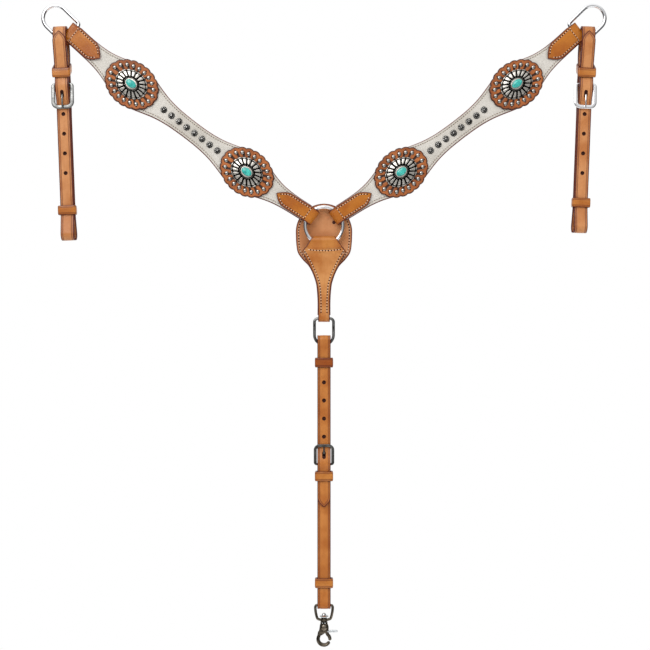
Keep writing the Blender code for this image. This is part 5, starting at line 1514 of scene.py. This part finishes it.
def gate_angle(reach):
    """The angle, on the middle line of the hook, that is a given reach from the trigger's rivet.

    The cosine rule in the triangle of rivet, hook's centre and point gives the sine of the angle.
    """
    drop = SNAP_PIVOT - HOOK_CENTRE
    share = (reach**2 - HOOK_MIDDLE**2 - drop**2) / (2 * drop * HOOK_MIDDLE)
    return -math.degrees(math.asin(share))


def trigger():
    """The trigger: a disc on the rivet, the curved gate that closes the hook and the thumb lever."""
    deep, flat = (TRIGGER_FRONT + TRIGGER_BACK) / 2, (TRIGGER_BACK - TRIGGER_FRONT) / 2
    piece = Piece("trigger_lever_worn")
    foot = gate_angle(HOOK_TIP - 3 * GAP) + math.degrees(HOOK_THICK / HOOK_MIDDLE)
    line = smooth([*arc((0, HOOK_CENTRE), HOOK_MIDDLE, foot, 50, 16), (0.0030, SNAP_PIVOT - 0.0056),
                   (0.0010, SNAP_PIVOT - 0.0020)], 3)
    tube(piece, put(FRONT, line[:, 0], deep, line[:, 1]), HOOK_THICK, Y, closed=False, columns=16,
         squash=flat / HOOK_THICK)
    disc = arc((0, SNAP_PIVOT), TRIGGER_DISC, 0, 360, 29)[:-1]
    slab(piece, disc, TRIGGER_FRONT, TRIGGER_BACK, 0.0003)
    bar = np.linspace(0.0030, LEVER_REACH - LEVER_HEIGHT / 2, 9)
    tube(piece, put(FRONT, bar, deep, SNAP_PIVOT - 0.0061 + LEVER_HEIGHT / 2), LEVER_HEIGHT / 2, Y,
         closed=False, look=1, columns=16, squash=flat / LEVER_HEIGHT * 2)
    piece.done("trigger", "gunmetal", [GUNMETAL, BRIGHT_STEEL], "trigger")


# Studio

def camera():
    """A camera straight in front, far enough for little perspective."""
    eye = bpy.data.objects.new("camera", bpy.data.cameras.new("camera"))
    bpy.context.scene.collection.objects.link(eye)
    eye.location = VIEW_CENTRE - Y * VIEW_DISTANCE
    eye.rotation_euler = (math.pi / 2, 0, 0)
    eye.data.lens = 36 * VIEW_DISTANCE / VIEW_SPAN
    bpy.context.scene.camera = eye


def floor():
    """A round pale floor, well below the snap."""
    a = np.linspace(0, 2 * math.pi, 64, endpoint=False)
    r = np.array([0.0, FLOOR_RADIUS, FLOOR_RADIUS, 0.0])[:, None]
    h = np.array([FLOOR_HEIGHT, FLOOR_HEIGHT, FLOOR_HEIGHT - 0.02, FLOOR_HEIGHT - 0.02])[:, None]
    piece = Piece("floor")
    piece.grid(np.stack(np.broadcast_arrays(r * np.cos(a), r * np.sin(a), h), -1))
    f = Finish("pale_floor", 0.8)
    tone = f.blend(f.span(f.noise(3, 2), 0.3, 0.7), rgb(246, 246, 246), rgb(238, 238, 238))
    piece.mesh([f.wear(Base_Color=tone)])


def surround():
    """White to the camera, a soft grey rise for light, and dark bands for the metal to mirror."""
    world = bpy.data.worlds.new("surround")
    bpy.context.scene.world = world
    world.use_nodes = True
    tree = world.node_tree
    tree.nodes.remove(tree.nodes["Background"])

    def shaped(kind, **values):
        """A world node, its sockets set or linked by number."""
        node = tree.nodes.new("ShaderNode" + kind)
        for key, value in values.items():
            if isinstance(value, bpy.types.NodeSocket):
                tree.links.new(value, node.inputs[int(key[1:])])
            else:
                node.inputs[int(key[1:])].default_value = value
        return node

    def rise(value, stops):
        """A grey ramp over a direction's share, from -1 to 1."""
        node = shaped("ValToRGB", _0=shaped("MapRange", _0=value, _1=-1.0, _2=1.0).outputs[0])
        ramp = node.color_ramp
        ramp.interpolation = "EASE"
        spots = [*ramp.elements, *(ramp.elements.new(place) for place, _ in stops[2:])]
        for spot, (place, grey) in zip(spots, stops):
            spot.position = place
            spot.color = (grey, grey, grey, 1)
        return node.outputs[0]

    split = shaped("SeparateXYZ", _0=shaped("TexCoord").outputs["Generated"])
    front = rise(split.outputs[1], MIRROR_FRONT)
    above = rise(split.outputs[2], MIRROR_ABOVE)
    both = shaped("MixRGB", _0=1.0, _1=front, _2=above)
    both.blend_type = "ADD"
    mirrored = shaped("Background", _0=both.outputs[0], _1=1.0)
    soft = shaped("Background", _0=rise(split.outputs[2], SOFT_LIGHT), _1=0.72)
    seen = shaped("Background", _0=(1, 1, 1, 1), _1=1.0)
    ray = shaped("LightPath")
    lit = shaped("MixShader", _0=ray.outputs["Is Glossy Ray"], _1=soft.outputs[0], _2=mirrored.outputs[0])
    whole = shaped("MixShader", _0=ray.outputs["Is Camera Ray"], _1=lit.outputs[0], _2=seen.outputs[0])
    tree.links.new(whole.outputs[0], tree.nodes["World Output"].inputs["Surface"])


def lights():
    """Three soft square lights aimed at the collar; only the key light shows in the metal."""
    for name, where, size, power in LIGHTS:
        light = bpy.data.objects.new(name, bpy.data.lights.new(name, "AREA"))
        bpy.context.scene.collection.objects.link(light)
        light.data.size = size
        light.data.energy = power
        light.visible_glossy = name == "key_light"
        light.location = where
        light.rotation_euler = Vector(VIEW_CENTRE - np.array(where)).to_track_quat("-Z", "Y").to_euler()


camera()
floor()
surround()
lights()
bpy.context.scene.view_settings.view_transform = "Standard"
for wing_side in SIDES:
    wing_layers(wing_side)
    tab(wing_side, "inner", INNER_TAB)
    tab(wing_side, "outer", OUTER_TAB)
    rosette(wing_side, "inner")
    rosette(wing_side, "outer")
    flowers(wing_side)
    dee_ring(wing_side)
    uptug(wing_side)
centre_ring()
shield_plate()
shield_overlay()
ring_loop()
lower_dee()
tie_down()
swivel_eye()
snap_body()
trigger()
